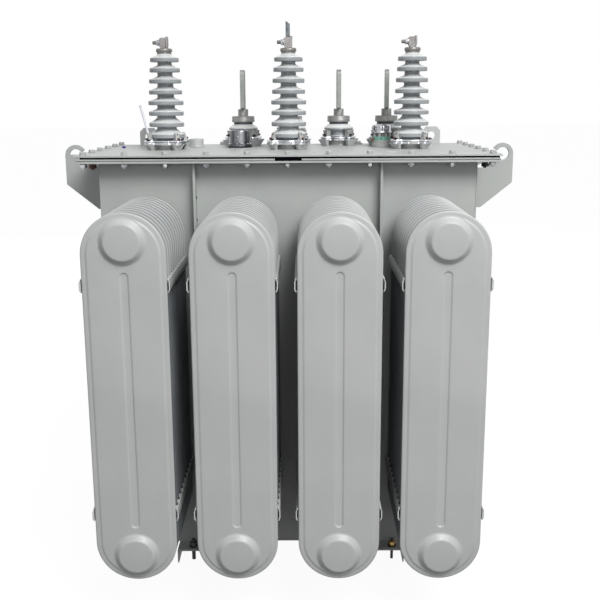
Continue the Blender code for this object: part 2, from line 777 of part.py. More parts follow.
def clamp_outline():
    """Front view of a terminal clamp above its cap: a body with a slot and a taller jaw."""
    half = HV_CLAMP_WIDTH / 2
    slot = half - HV_JAW_WIDTH
    corner = HV_CLAMP_CORNER
    return [
        (corner - half, -OVERRUN), (half - corner, -OVERRUN), (half - corner, corner / 2),
        (half, 2 * corner), (half, HV_CLAMP_HEIGHT + HV_JAW_RISE),
        (slot, HV_CLAMP_HEIGHT + HV_JAW_RISE), (slot, HV_SLOT_FLOOR),
        (slot - HV_SLOT_WIDTH, HV_SLOT_FLOOR), (slot - HV_SLOT_WIDTH, HV_CLAMP_HEIGHT),
        (corner - half, HV_CLAMP_HEIGHT), (-half, HV_CLAMP_HEIGHT - corner), (-half, 2 * corner),
        (corner - half, corner / 2),
    ]


def blade_outline():
    """Front view of the flat bar held in the middle terminal, cut off at a slant."""
    half = HV_BLADE_WIDTH / 2
    return [
        (-half, -HV_BLADE_SUNK), (half, -HV_BLADE_SUNK),
        (half, HV_BLADE_HEIGHT - HV_BLADE_SLANT), (-half, HV_BLADE_HEIGHT),
    ]


def build_hv_bushings():
    """The three tall bushings with their clamp rings and terminals."""
    profile, height = hv_profile()
    foot = COVER_TOP + HV_TURRET_HEIGHT + GAP
    for number, (x, y) in enumerate(hv_places(), 1):
        add_turned(f"hv_bushing_{number}", profile, HV_SIDES, PORCELAIN, (x, y, foot))
        add_clamp_ring(
            f"hv_clamp_ring_{number}", HV_FOOT_RADIUS, HV_RING_RADIUS, HV_EAR_REACH,
            HV_RING_HEIGHT, HV_SIDES, (x, y, foot),
        )
        base = foot + height + GAP
        terminal = add_cylinder(
            f"hv_terminal_{number}", (HV_CAP_RADIUS, HV_CAP_RADIUS), HV_CAP_HEIGHT,
            HV_SIDES, ZINC, (x, y, base),
        )
        clamp = add_outline(
            f"hv_terminal_{number}_clamp", [clamp_outline()], HV_CLAMP_DEPTH, ZINC,
            collection=CUTTERS,
        )
        clamp.location = (x, y, base + HV_CAP_HEIGHT)
        add_boolean(terminal, clamp, "UNION")
        if number == HV_BLADED:
            blade = add_outline(
                f"hv_terminal_{number}_blade", [blade_outline()], HV_BLADE_THICKNESS, ZINC,
                collection=CUTTERS,
            )
            blade.location = (x + HV_BLADE_SHIFT, y, base + HV_CAP_HEIGHT + HV_CLAMP_HEIGHT)
            add_boolean(terminal, blade, "UNION")


def lv_profile():
    """The porcelain of a low-voltage bushing above its collar, top to bottom."""
    top = LV_NECK_TOP + LV_SHED_HEIGHT
    return [
        (0, top), (LV_SHED_TOP_RADIUS, top), (LV_SHED_RADIUS, LV_NECK_TOP + LV_SHED_RIM),
        (LV_SHED_RADIUS, LV_NECK_TOP), (LV_NECK_RADIUS, LV_NECK_TOP),
        (LV_NECK_RADIUS, LV_RING_HEIGHT), (LV_FOOT_RADIUS, LV_RING_HEIGHT),
        (LV_FOOT_RADIUS, 0), (0, 0),
    ], top


def build_lv_bushings():
    """The row of short bushings, each with its clamp ring and its flat upright terminal."""
    profile, height = lv_profile()
    foot = COVER_TOP + LV_TURRET_HEIGHT + GAP
    for number, (x, y) in enumerate(lv_places(), 1):
        add_turned(f"lv_bushing_{number}", profile, LV_SIDES, PORCELAIN, (x, y, foot))
        add_clamp_ring(
            f"lv_clamp_ring_{number}", LV_FOOT_RADIUS, LV_RING_RADIUS, LV_EAR_REACH,
            LV_RING_HEIGHT, LV_SIDES, (x, y, foot),
        )
        base = foot + height + GAP
        cap = base + LV_SEAL_HEIGHT
        nut = cap + LV_CAP_HEIGHT
        terminal = add_turned(
            f"lv_terminal_{number}",
            [(0, nut + LV_NUT_HEIGHT - base), (LV_NUT_RADIUS, nut + LV_NUT_HEIGHT - base),
             (LV_NUT_RADIUS, nut - base), (LV_CAP_RADIUS, nut - base), (LV_CAP_RADIUS, cap - base),
             (LV_SEAL_RADIUS, cap - base), (LV_SEAL_RADIUS, 0), (0, 0)],
            LV_SIDES, ZINC, (x, y, base),
        )
        half = LV_BLADE_WIDTH / 2
        corner = LV_BLADE_CORNER
        bend = LV_BLADE_CORNER_SIDES
        low = nut + LV_NUT_HEIGHT
        high = low + LV_BLADE_HEIGHT
        blade = add_outline(
            f"lv_terminal_{number}_blade",
            [[(y - half, low - OVERRUN), (y + half, low - OVERRUN)]
             + arc((y + half - corner, high - corner), corner, 0, pi / 2, bend)
             + arc((y - half + corner, high - corner), corner, pi / 2, pi, bend)],
            LV_BLADE_THICKNESS, ZINC, (pi / 2, 0, pi / 2), CUTTERS,
        )
        blade.location.x = x
        add_boolean(terminal, blade, "UNION")


def build_fittings():
    """The tap changer's cap, the relief valve and the filler neck on the cover."""
    flange = TAP_FLANGE_HEIGHT
    add_turned(
        "tap_changer_cap",
        [(0, flange + TAP_BODY_HEIGHT), (TAP_BODY_RADIUS, flange + TAP_BODY_HEIGHT),
         (TAP_BODY_RADIUS, flange), (TAP_FLANGE_RADIUS, flange), (TAP_FLANGE_RADIUS, 0), (0, 0)],
        FITTING_SIDES, ZINC, (TAP_X, TAP_Y, COVER_TOP + TAP_COLLAR_HEIGHT + GAP),
    )
    levels = [0]
    for height in (RELIEF_BASE_HEIGHT, RELIEF_LIP_HEIGHT, RELIEF_RING_HEIGHT,
                   RELIEF_NECK_HEIGHT, RELIEF_HEAD_HEIGHT):
        levels.append(levels[-1] + height)
    base, lip, ring, neck, head = levels[1:]
    add_turned(
        "pressure_relief_valve",
        [(0, head), (RELIEF_HEAD_RADIUS, head), (RELIEF_HEAD_RADIUS, neck),
         (RELIEF_NECK_RADIUS, neck), (RELIEF_NECK_RADIUS, ring), (RELIEF_RING_RADIUS, ring),
         (RELIEF_RING_RADIUS, lip), (RELIEF_HEAD_RADIUS, lip), (RELIEF_HEAD_RADIUS, base),
         (RELIEF_BASE_RADIUS, base), (RELIEF_BASE_RADIUS, 0), (0, 0)],
        FITTING_SIDES, VALVE_GREY, (RELIEF_X, RELIEF_Y, COVER_TOP + GAP),
    )
    collar = FILLER_HEIGHT - FILLER_CAP_HEIGHT
    add_turned(
        "filler_neck",
        [(0, FILLER_HEIGHT), (FILLER_RADIUS, FILLER_HEIGHT), (FILLER_RADIUS, collar),
         (FILLER_NECK_RADIUS, collar), (FILLER_NECK_RADIUS, 0), (0, 0)],
        FITTING_SIDES, COVER_GREY, (FILLER_X, FILLER_Y, COVER_TOP + GAP),
    )


for old in list(bpy.data.objects):
    bpy.data.objects.remove(old)
PARTS = new_collection("power_transformer")
CUTTERS = new_collection("cutters")
CUTTERS.hide_render = True
STEEL_GREY = new_material("painted_steel_grey", (0.38, 0.39, 0.38), 0.42, 0.0)
COVER_GREY = new_material("painted_cover_grey", (0.56, 0.58, 0.58), 0.45, 0.0)
PORCELAIN = new_material("grey_glazed_porcelain", (0.42, 0.46, 0.48), 0.15, 0.0)
ZINC = new_material("bright_zinc", (0.62, 0.62, 0.60), 0.3, 1.0)
RUBBER = new_material("black_rubber", (0.02, 0.02, 0.03), 0.7, 0.0)
VALVE_GREY = new_material("cast_grey", (0.36, 0.37, 0.35), 0.5, 0.3)
build_base()
build_tank_ends()
build_long_wall("tank_front_wall", -1)
build_long_wall("tank_back_wall", 1)
build_rim()
build_cover()
build_hooks()
build_lugs()
build_radiators()
build_hv_bushings()
build_lv_bushings()
build_fittings()
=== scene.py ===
# %% [markdown]
# # An oil-filled power transformer
#
# The real object is a steel tank of oil with a bolted cover. Pressed plate radiators hang
# on both long sides, three tall and four short porcelain bushings stand on the cover, and
# everything steel is sprayed in one satin grey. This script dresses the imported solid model
# with finer meshes and real finishes, one piece at a time.

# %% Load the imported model
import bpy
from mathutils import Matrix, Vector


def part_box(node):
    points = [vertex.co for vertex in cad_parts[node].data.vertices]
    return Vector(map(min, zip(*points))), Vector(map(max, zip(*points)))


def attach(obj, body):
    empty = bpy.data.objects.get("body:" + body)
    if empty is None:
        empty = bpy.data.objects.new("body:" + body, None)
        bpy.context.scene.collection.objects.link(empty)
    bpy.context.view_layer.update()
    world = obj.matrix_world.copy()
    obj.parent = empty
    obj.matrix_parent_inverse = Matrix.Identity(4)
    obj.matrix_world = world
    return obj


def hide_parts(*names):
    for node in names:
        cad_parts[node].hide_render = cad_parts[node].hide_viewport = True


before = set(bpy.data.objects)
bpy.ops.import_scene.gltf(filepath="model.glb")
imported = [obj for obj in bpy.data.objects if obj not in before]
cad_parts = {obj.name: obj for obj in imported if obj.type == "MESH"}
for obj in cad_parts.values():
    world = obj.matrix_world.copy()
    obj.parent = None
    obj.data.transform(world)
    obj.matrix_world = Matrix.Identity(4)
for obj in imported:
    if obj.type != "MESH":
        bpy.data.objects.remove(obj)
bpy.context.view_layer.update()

# %% [markdown]
# ## Colours
#
# Paint makers and photographs give colours as sRGB hex values, while the renderer adds light
# in linear values. One function turns the first into the second, so that every colour below
# can be written as the eye sees it.

# %% Hex colours to linear light
from math import atan2, ceil, cos, exp, pi, radians, sin, tau

import bmesh
import bpy
from mathutils import Matrix, Vector


def linear(code):
    """The linear RGBA value of a colour written as #RRGGBB."""
    shares = [int(code[start:start + 2], 16) / 255 for start in (1, 3, 5)]
    light = [s / 12.92 if s <= 0.04045 else ((s + 0.055) / 1.055) ** 2.4 for s in shares]
    return (*light, 1.0)


print("satin grey in linear light", [round(v, 3) for v in linear("#B7BAB8")])

# %% [markdown]
# ## Building a finish out of nodes
#
# A finish is a small network of shader nodes. It could be joined by hand in the shader editor.
# Here one small function adds any node with its settings and its links, which keeps each
# material below short enough to read.

# %% One function that adds a node


def add_node(tree, kind, settings=None, links=None):
    """Adds a node. Settings are its options, then its socket values; links are its inputs."""
    node = tree.nodes.new(kind)
    for name, value in (settings or {}).items():
        if isinstance(name, str) and hasattr(node, name):
            setattr(node, name, value)
        else:
            node.inputs[name].default_value = value
    for name, source in (links or {}).items():
        tree.links.new(source, node.inputs[name])
    return node


def new_finish(name):
    """An empty material with its Principled shader and the object's own coordinates in metres."""
    finish = bpy.data.materials.new(name)
    finish.use_nodes = True
    tree = finish.node_tree
    surface = tree.nodes["Principled BSDF"]
    places = add_node(tree, "ShaderNodeTexCoord").outputs["Object"]
    return finish, tree, surface, places


# %% [markdown]
# ## The grey paint
#
# The steel is shot-blasted, primed and sprayed with a two-coat satin polyurethane. Three things
# tell the eye that it is sprayed paint: a soft sheen, a very fine orange peel, and a tone that
# drifts a little from place to place with the thickness of the coat and a film of dust. The
# real orange peel is 1 to 2 mm across, too fine for this picture, so it is drawn at 5 mm. The
# tank, the radiators and the cover take the one grey in three slightly different tones, set so
# that each part comes out as bright as wanted under the lamps: painted light and shade. Deep
# between the panels, below the upper comb, a much darker copy of the grey stands for the shade
# there, which is painted shade. A slightly darker copy for the strips just behind the panels' lit
# edges above the comb is painted shade too. A paler copy on the combs' teeth and top edges is a
# painted highlight.

# %% Sprayed satin paint
DRIFT_SIZE, SPECK_SIZE, PEEL_SIZE = 0.26, 0.018, 0.005


def sprayed_paint(name, tone, thin_tone, dust_tone, roughness):
    """Satin paint that drifts between two tones, with dust on what faces up and orange peel."""
    finish, tree, surface, places = new_finish(name)
    drift = add_node(tree, "ShaderNodeTexNoise",
                     {"Scale": 1 / DRIFT_SIZE, "Detail": 3.0, "Roughness": 0.55},
                     {"Vector": places})
    spread = add_node(tree, "ShaderNodeMapRange",
                      {"From Min": 0.36, "From Max": 0.64, "To Min": 0.0, "To Max": 1.0},
                      {"Value": drift.outputs["Fac"]})
    coat = add_node(tree, "ShaderNodeMix",
                    {"data_type": "RGBA", 6: linear(tone), 7: linear(thin_tone)},
                    {0: spread.outputs["Result"]})
    facing = add_node(tree, "ShaderNodeNewGeometry")
    upward = add_node(tree, "ShaderNodeSeparateXYZ", None, {"Vector": facing.outputs["Normal"]})
    up_facing_share = add_node(tree, "ShaderNodeMapRange",
                       {"From Min": 0.55, "From Max": 1.0, "To Min": 0.0, "To Max": 0.55},
                       {"Value": upward.outputs["Z"]})
    speck = add_node(tree, "ShaderNodeTexNoise",
                     {"Scale": 1 / SPECK_SIZE, "Detail": 5.0, "Roughness": 0.7},
                     {"Vector": places})
    patchy = add_node(tree, "ShaderNodeMapRange",
                      {"From Min": 0.35, "From Max": 0.7, "To Min": 0.25, "To Max": 1.0},
                      {"Value": speck.outputs["Fac"]})
    dust = add_node(tree, "ShaderNodeMath", {"operation": "MULTIPLY"},
                    {0: up_facing_share.outputs["Result"], 1: patchy.outputs["Result"]})
    up_faces_lightened = add_node(tree, "ShaderNodeMix", {"data_type": "RGBA", 7: linear(dust_tone)},
                     {0: dust.outputs["Value"], 6: coat.outputs[2]})
    tree.links.new(up_faces_lightened.outputs[2], surface.inputs["Base Color"])
    sheen = add_node(tree, "ShaderNodeMapRange",
                     {"From Min": 0.3, "From Max": 0.7, "To Min": roughness - 0.06,
                      "To Max": roughness + 0.09}, {"Value": speck.outputs["Fac"]})
    tree.links.new(sheen.outputs["Result"], surface.inputs["Roughness"])
    peel = add_node(tree, "ShaderNodeTexNoise",
                    {"Scale": 1 / PEEL_SIZE, "Detail": 2.0, "Roughness": 0.5},
                    {"Vector": places})
    relief = add_node(tree, "ShaderNodeBump", {"Strength": 0.10, "Distance": 0.0006},
                      {"Height": peel.outputs["Fac"]})
    tree.links.new(relief.outputs["Normal"], surface.inputs["Normal"])
    surface.inputs["IOR"].default_value = 1.5
    return finish


# The tank, radiator and cover greys are one paint in three slightly different tones, each set so that
# its part comes out as bright as wanted under the lamps: painted light and shade.
PAINTS = (
    ("sprayed_satin_grey_tank", "#B4B7B4", "#AEB1AF", "#C4C5C1", 0.44),
    ("sprayed_satin_grey_radiator", "#B9BAB9", "#B3B5B4", "#C8C9C7", 0.38),
    ("sprayed_satin_grey_cover", "#B6B8B6", "#AFB2B1", "#C1C2C0", 0.42),
    # Painted highlight: a paler copy of the grey for the combs' teeth, end loops, top line and caps.
    ("painted_highlight_grey_comb", "#D4D6D4", "#CACDCB", "#DADBD9", 0.34),
    # Painted shade: a much darker copy of the grey for the inner panels below the upper comb.
    ("painted_shade_between_panels", "#6C7073", "#5F6366", "#74777A", 0.55),
    # Painted shade: a slightly darker copy for the strips behind the inner panels' edges.
    ("painted_shade_behind_panel_edges", "#A2A4A5", "#979A9B", "#AAACAD", 0.5),
)
tank_paint, radiator_paint, cover_paint, comb_highlight_paint, between_panels_shade_paint, edge_shade_paint = (
    sprayed_paint(*row) for row in PAINTS)
print("paints", tank_paint.name, radiator_paint.name, cover_paint.name)

# %% [markdown]
# ## Porcelain
#
# The insulators are wet-process porcelain, turned to shape and dipped in a grey glaze that is
# fired to glass. The glass gives sharp reflections over a slightly uneven body, and the glaze
# gathers a little thicker and darker in broad patches. The slopes that face up are painted a much
# paler grey, which is painted light from above, so the sheds show lighter above than round their
# rims and necks.

# %% Glazed porcelain
POOL_SIZE, WAVE_SIZE = 0.045, 0.012


def glazed_porcelain():
    """Grey glaze over a slightly uneven body, with what faces up painted paler as painted light from
    above.
    """
    finish, tree, surface, places = new_finish("grey_glazed_porcelain")
    pooling = add_node(tree, "ShaderNodeTexNoise",
                       {"Scale": 1 / POOL_SIZE, "Detail": 3.0, "Roughness": 0.5},
                       {"Vector": places})
    body = add_node(tree, "ShaderNodeMix",
                    {"data_type": "RGBA", 6: linear("#9EA2A4"), 7: linear("#93979A")},
                    {0: pooling.outputs["Fac"]})
    facing = add_node(tree, "ShaderNodeNewGeometry")
    upward = add_node(tree, "ShaderNodeSeparateXYZ", None, {"Vector": facing.outputs["Normal"]})
    # Painted light: faces that look up are mixed towards a much paler grey.
    up_facing_share = add_node(tree, "ShaderNodeMapRange",
                       {"From Min": 0.25, "From Max": 0.75, "To Min": 0.0, "To Max": 1.0},
                       {"Value": upward.outputs["Z"]})
    up_faces_lightened = add_node(tree, "ShaderNodeMix", {"data_type": "RGBA", 7: linear("#DADCDB")},
                     {0: up_facing_share.outputs["Result"], 6: body.outputs[2]})
    tree.links.new(up_faces_lightened.outputs[2], surface.inputs["Base Color"])
    dull = add_node(tree, "ShaderNodeMapRange",
                    {"From Min": 0.35, "From Max": 0.75, "To Min": 0.10, "To Max": 0.22},
                    {"Value": pooling.outputs["Fac"]})
    tree.links.new(dull.outputs["Result"], surface.inputs["Roughness"])
    wave = add_node(tree, "ShaderNodeTexNoise",
                    {"Scale": 1 / WAVE_SIZE, "Detail": 2.0, "Roughness": 0.4},
                    {"Vector": places})
    relief = add_node(tree, "ShaderNodeBump", {"Strength": 0.12, "Distance": 0.0008},
                      {"Height": wave.outputs["Fac"]})
    tree.links.new(relief.outputs["Normal"], surface.inputs["Normal"])
    surface.inputs["IOR"].default_value = 1.5
    surface.inputs["Specular IOR Level"].default_value = 0.45
    return finish


porcelain = glazed_porcelain()
print("porcelain", porcelain.name)

# %% [markdown]
# ## Bare metals
#
# Bare metal has no colour of its own under the reflection: the tint is in the reflection. What
# tells one metal from another here is the tint, how blurred the reflection is, and the grain
# left by casting, drawing or plating. One function makes them all from a tone, a roughness, and
# a grain that may be stretched along the direction of drawing. The grains are drawn at 2 to 3
# mm, coarser than the real ones, so that they show.

# %% Cast, drawn and plated metal
STAIN_SIZE = 0.03


def bare_metal(name, tone, stain_tone, roughness, grain, metallic=1.0, stretch=(1, 1, 1)):
    """Metal with broad stains, and a grain of one size that may be stretched along an axis."""
    finish, tree, surface, places = new_finish(name)
    drawn = add_node(tree, "ShaderNodeMapping", {"Scale": stretch}, {"Vector": places})
    grit = add_node(tree, "ShaderNodeTexNoise",
                    {"Scale": 1 / grain, "Detail": 3.0, "Roughness": 0.6},
                    {"Vector": drawn.outputs["Vector"]})
    stain = add_node(tree, "ShaderNodeTexNoise",
                     {"Scale": 1 / STAIN_SIZE, "Detail": 3.0, "Roughness": 0.6},
                     {"Vector": places})
    share = add_node(tree, "ShaderNodeMapRange",
                     {"From Min": 0.42, "From Max": 0.66, "To Min": 0.0, "To Max": 1.0},
                     {"Value": stain.outputs["Fac"]})
    tint = add_node(tree, "ShaderNodeMix",
                    {"data_type": "RGBA", 6: linear(tone), 7: linear(stain_tone)},
                    {0: share.outputs["Result"]})
    tree.links.new(tint.outputs[2], surface.inputs["Base Color"])
    blur = add_node(tree, "ShaderNodeMapRange",
                    {"From Min": 0.3, "From Max": 0.7, "To Min": roughness * 0.75,
                     "To Max": roughness * 1.3}, {"Value": grit.outputs["Fac"]})
    tree.links.new(blur.outputs["Result"], surface.inputs["Roughness"])
    relief = add_node(tree, "ShaderNodeBump", {"Strength": 0.12, "Distance": 0.0004},
                      {"Height": grit.outputs["Fac"]})
    tree.links.new(relief.outputs["Normal"], surface.inputs["Normal"])
    surface.inputs["Metallic"].default_value = metallic
    return finish


cast_aluminium = bare_metal("polished_cast_aluminium", "#E6E7EB", "#CDCFD6", 0.14, 0.003)
claw_aluminium = bare_metal("cast_aluminium_claw", "#B4B4B1", "#A3A4A3", 0.42, 0.003, 0.35)
spun_aluminium = bare_metal("spun_aluminium_cap", "#808184", "#6D6E72", 0.26, 0.002, 1.0, (1, 1, 6))
tinned_copper = bare_metal("tinned_copper_bar", "#989B97", "#8B8F8C", 0.50, 0.0025, 0.35, (6, 6, 1))
turned_tin = bare_metal("tinned_brass_cap", "#9B9B98", "#8D8E8C", 0.42, 0.0025, 0.45, (1, 1, 4))
tinned_brass = bare_metal("tinned_brass_clamp", "#9B9897", "#868381", 0.40, 0.0025, 0.5)
dark_brass = bare_metal("darkened_brass_cap", "#8C8A86", "#75736F", 0.40, 0.0025, 0.5)
thread_steel = bare_metal("oiled_threaded_steel", "#77756F", "#5F5D59", 0.42, 0.002, 0.6)
dark_copper = bare_metal("tarnished_copper_bar", "#6F7376", "#4E5459", 0.35, 0.002, 1.0, (6, 6, 1))
bright_zinc = bare_metal("bright_zinc_plate", "#CFD1D2", "#AEB2B8", 0.28, 0.002)
yellow_zinc = bare_metal("yellow_passivated_zinc", "#C9A960", "#A98F72", 0.30, 0.002)
print("metals", cast_aluminium.name, tinned_copper.name, yellow_zinc.name)

# %% [markdown]
# ## Rubber, plastic and small painted parts
#
# The cover gasket is black nitrile rubber, which reads as a dark line with a cold sheen. The
# claw bolts are black oxide or red primer, and the short terminals stand on a worn grey seal. A
# few small parts are moulded or painted in another colour. All are non-metals, so one function
# gives each its tone, a mottle and a slight grain.

# %% Rubber, plastic and primer
COAT_GRAIN = 0.003


def plain_coat(name, tone, second_tone, roughness, mottle):
    """A non-metal that mottles between two tones, with patches of one size and a slight grain."""
    finish, tree, surface, places = new_finish(name)
    cloud = add_node(tree, "ShaderNodeTexNoise",
                     {"Scale": 1 / mottle, "Detail": 4.0, "Roughness": 0.6}, {"Vector": places})
    tint = add_node(tree, "ShaderNodeMix",
                    {"data_type": "RGBA", 6: linear(tone), 7: linear(second_tone)},
                    {0: cloud.outputs["Fac"]})
    tree.links.new(tint.outputs[2], surface.inputs["Base Color"])
    blur = add_node(tree, "ShaderNodeMapRange",
                    {"From Min": 0.3, "From Max": 0.7, "To Min": roughness - 0.07,
                     "To Max": roughness + 0.07}, {"Value": cloud.outputs["Fac"]})
    tree.links.new(blur.outputs["Result"], surface.inputs["Roughness"])
    fine = add_node(tree, "ShaderNodeTexNoise",
                    {"Scale": 1 / COAT_GRAIN, "Detail": 2.0, "Roughness": 0.5},
                    {"Vector": places})
    relief = add_node(tree, "ShaderNodeBump", {"Strength": 0.2, "Distance": 0.0004},
                      {"Height": fine.outputs["Fac"]})
    tree.links.new(relief.outputs["Normal"], surface.inputs["Normal"])
    return finish


nitrile = plain_coat("black_nitrile_rubber", "#020208", "#04040C", 0.7, 0.02)
nitrile.node_tree.nodes["Principled BSDF"].inputs["Specular IOR Level"].default_value = 0.06
black_oxide = plain_coat("black_oxide_bolt", "#1D1B28", "#2E2B33", 0.4, 0.01)
red_primer = plain_coat("red_oxide_primer", "#4A2E30", "#5E3C3C", 0.6, 0.01)
dusty_primer = plain_coat("dusty_red_primer", "#9A908B", "#A59B96", 0.6, 0.01)
teal_enamel = plain_coat("teal_enamel_band", "#7DB3A3", "#6DA595", 0.4, 0.02)
rusted_steel = plain_coat("rusted_steel_nut", "#5A3E33", "#7A5A49", 0.65, 0.008)
olive_passivated = plain_coat("olive_passivated_nut", "#4C524C", "#3B413E", 0.42, 0.01)
dark_housing = plain_coat("dark_spring_housing", "#6E7272", "#5E6263", 0.5, 0.02)
blue_plastic = plain_coat("blue_moulded_cap", "#0A0A78", "#14148A", 0.35, 0.01)
white_nylon = plain_coat("white_nylon_rod", "#E2E3EA", "#D6D8E0", 0.4, 0.02)
seal_rubber = plain_coat("worn_rubber_seal", "#565862", "#494B55", 0.5, 0.02)
valve_grey = plain_coat("cast_grey_valve", "#A9ABA7", "#9C9F9B", 0.45, 0.02)
print("coats", nitrile.name, teal_enamel.name, valve_grey.name)

# %% [markdown]
# ## Mesh helpers
#
# Nearly every piece is turned on a lathe, cut from plate or folded from sheet. So a few helpers
# are enough: one turns a profile, one cuts an outline out of plate, one makes a six-sided block
# from its eight corners, and one runs a round bar or a weld bead along a line. Each adds to one
# bmesh, so a piece with many parts is still one object. Rods, washers and nuts are so common
# that their profiles have functions of their own. A plate lies flat unless UPRIGHT stands it on
# its edge, to be seen from the front.

# %% Turned, cut, blocked and drawn shapes
UPRIGHT = Matrix(((1, 0, 0, 0), (0, 0, 1, 0), (0, 1, 0, 0), (0, 0, 0, 1)))
BEAD_STRIDE, BEAD_RIPPLE = 0.006, 0.22


def turned(shape, profile, sides, matrix=None, finish=0):
    """Turns a profile of (radius, height) points about Z. A radius of 0 ends in one point."""
    rings = []
    for radius, height in profile:
        if radius == 0:
            rings.append([shape.verts.new((0, 0, height))])
            continue
        turns = [tau * step / sides for step in range(sides)]
        rings.append([shape.verts.new((radius * cos(t), radius * sin(t), height)) for t in turns])
    for first, second in zip(rings, rings[1:]):
        for step in range(sides):
            after = (step + 1) % sides
            if len(first) == 1:
                corners = (first[0], second[step], second[after])
            elif len(second) == 1:
                corners = (first[step], first[after], second[0])
            else:
                corners = (first[step], first[after], second[after], second[step])
            shape.faces.new(corners).material_index = finish
    if matrix is not None:
        bmesh.ops.transform(shape, matrix=matrix, verts=[v for ring in rings for v in ring])


def plate(shape, outline, low, high, matrix=None, finish=0, hole=None):
    """A plate between two heights, cut to an outline of (x, y) points, with a hole if given."""
    loops = [outline] if hole is None else [outline, hole]
    bottom = [[shape.verts.new((x, y, low)) for x, y in loop] for loop in loops]
    top = [[shape.verts.new((x, y, high)) for x, y in loop] for loop in loops]
    made = []
    for lower, upper in zip(bottom, top):
        for step in range(len(lower)):
            after = (step + 1) % len(lower)
            made.append(shape.faces.new((lower[step], lower[after], upper[after], upper[step])))
    for loop_pair in (bottom, top):
        if hole is None:
            made.append(shape.faces.new(loop_pair[0]))
            continue
        outer, inner = loop_pair
        for step in range(len(outer)):
            after = (step + 1) % len(outer)
            made.append(shape.faces.new((outer[step], outer[after], inner[after], inner[step])))
    for face in made:
        face.material_index = finish
    if matrix is not None:
        points = [v for loop in bottom + top for v in loop]
        bmesh.ops.transform(shape, matrix=matrix, verts=points)


def solid(shape, corners, matrix=None, finish=0):
    """A six-sided block from four corners below and the four above them."""
    points = [shape.verts.new(corner) for corner in corners]
    for face in ((0, 1, 2, 3), (7, 6, 5, 4), (0, 4, 5, 1), (1, 5, 6, 2), (2, 6, 7, 3), (3, 7, 4, 0)):
        shape.faces.new([points[index] for index in face]).material_index = finish
    if matrix is not None:
        bmesh.ops.transform(shape, matrix=matrix, verts=points)


def level(near_x, far_x, near_y, far_y, z):
    """The four corners of a level rectangle, in the order that a solid takes them."""
    return [(near_x, near_y, z), (far_x, near_y, z), (far_x, far_y, z), (near_x, far_y, z)]


def block(shape, low, high, matrix=None, finish=0):
    """A block between two opposite corners."""
    (a, b, c), (d, e, f) = low, high
    solid(shape, level(a, d, b, e, c) + level(a, d, b, e, f), matrix, finish)


def drawn(shape, line, radius, sides=6, finish=0, ripple=0.0):
    """A round bar, or a rippled weld bead, along a line of points."""
    rings = []
    for index, point in enumerate(line):
        here = Vector(point)
        ahead = Vector(line[min(index + 1, len(line) - 1)])
        behind = Vector(line[max(index - 1, 0)])
        along = (ahead - behind).normalized()
        side = along.orthogonal().normalized()
        other = along.cross(side)
        wide = radius * (1 + ripple * (index % 2))
        ring = [here + (side * cos(t) + other * sin(t)) * wide
                for t in (tau * step / sides for step in range(sides))]
        rings.append([shape.verts.new(p) for p in ring])
    for first, second in zip(rings, rings[1:]):
        for step in range(sides):
            after = (step + 1) % sides
            face = shape.faces.new((first[step], first[after], second[after], second[step]))
            face.material_index = finish
    for ring in (rings[0], rings[-1]):
        shape.faces.new(ring).material_index = finish


def bead(shape, start, end, radius):
    """A straight fillet weld, its ripples drawn 6 mm apart so that they show."""
    start, end = Vector(start), Vector(end)
    steps = max(2, ceil((end - start).length / BEAD_STRIDE))
    line = [start.lerp(end, step / steps) for step in range(steps + 1)]
    drawn(shape, line, radius, ripple=BEAD_RIPPLE)


def rod(radius, low, high, drop=0.0, inset=0.0):
    """A plain rod's profile, its top edge turned off by a drop and an inset if given."""
    if not drop:
        return [(0, low), (radius, low), (radius, high), (0, high)]
    return [(0, low), (radius, low), (radius, high - drop), (radius - inset, high), (0, high)]


def nut_profile(across, height):
    """A hexagon with its corners turned off: the widest circle, then the chamfer."""
    radius = across / 3 ** 0.5
    return [(0, 0), (radius * 0.90, 0), (radius, height * 0.10), (radius, height * 0.88),
            (radius * 0.88, height), (0, height)]


def arc(centre, radius, start, end, sides):
    """Points along an arc between two angles."""
    turns = [start + (end - start) * step / sides for step in range(sides + 1)]
    return [(centre[0] + radius * cos(t), centre[1] + radius * sin(t)) for t in turns]


print("helpers ready")

# %% [markdown]
# ## Finishing a piece
#
# Real plate has its edges broken and real castings have rounds everywhere, and that thin bright
# line along an edge is what makes metal look real. A Bevel modifier gives it to every sharp edge
# at once, and hardened normals keep the flats flat. The piece then takes its place on the model
# and hides the plain solids that it stands for.

# %% Turn a bmesh into a piece of the object


def make_piece(name, shape, finishes, nodes=(), edge=0.0, segments=2, angle=35):
    """Makes an object of a bmesh, rounds its edges and lets it stand for the named nodes."""
    bmesh.ops.recalc_face_normals(shape, faces=shape.faces)
    mesh = bpy.data.meshes.new(name)
    shape.to_mesh(mesh)
    shape.free()
    for finish in finishes:
        mesh.materials.append(finish)
    mesh.shade_smooth()
    if not edge:
        mesh.set_sharp_from_angle(angle=radians(angle))
    piece = bpy.data.objects.new(name, mesh)
    bpy.context.scene.collection.objects.link(piece)
    if edge:
        rounding = piece.modifiers.new("broken edges", "BEVEL")
        rounding.width = edge
        rounding.segments = segments
        rounding.limit_method = "ANGLE"
        rounding.angle_limit = radians(angle)
        rounding.harden_normals = True
        rounding.use_clamp_overlap = True
    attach(piece, "root")
    if nodes:
        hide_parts(*nodes)
    print(name, len(mesh.polygons), "faces")
    return piece


# %% [markdown]
# ## Where things are
#
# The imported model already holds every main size. Reading the boxes of its nodes keeps the new
# pieces in register with it, so no size is typed twice.

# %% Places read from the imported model


def middle_of(node):
    """The middle of a node's box, as x and y."""
    low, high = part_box(node)
    return (low.x + high.x) / 2, (low.y + high.y) / 2


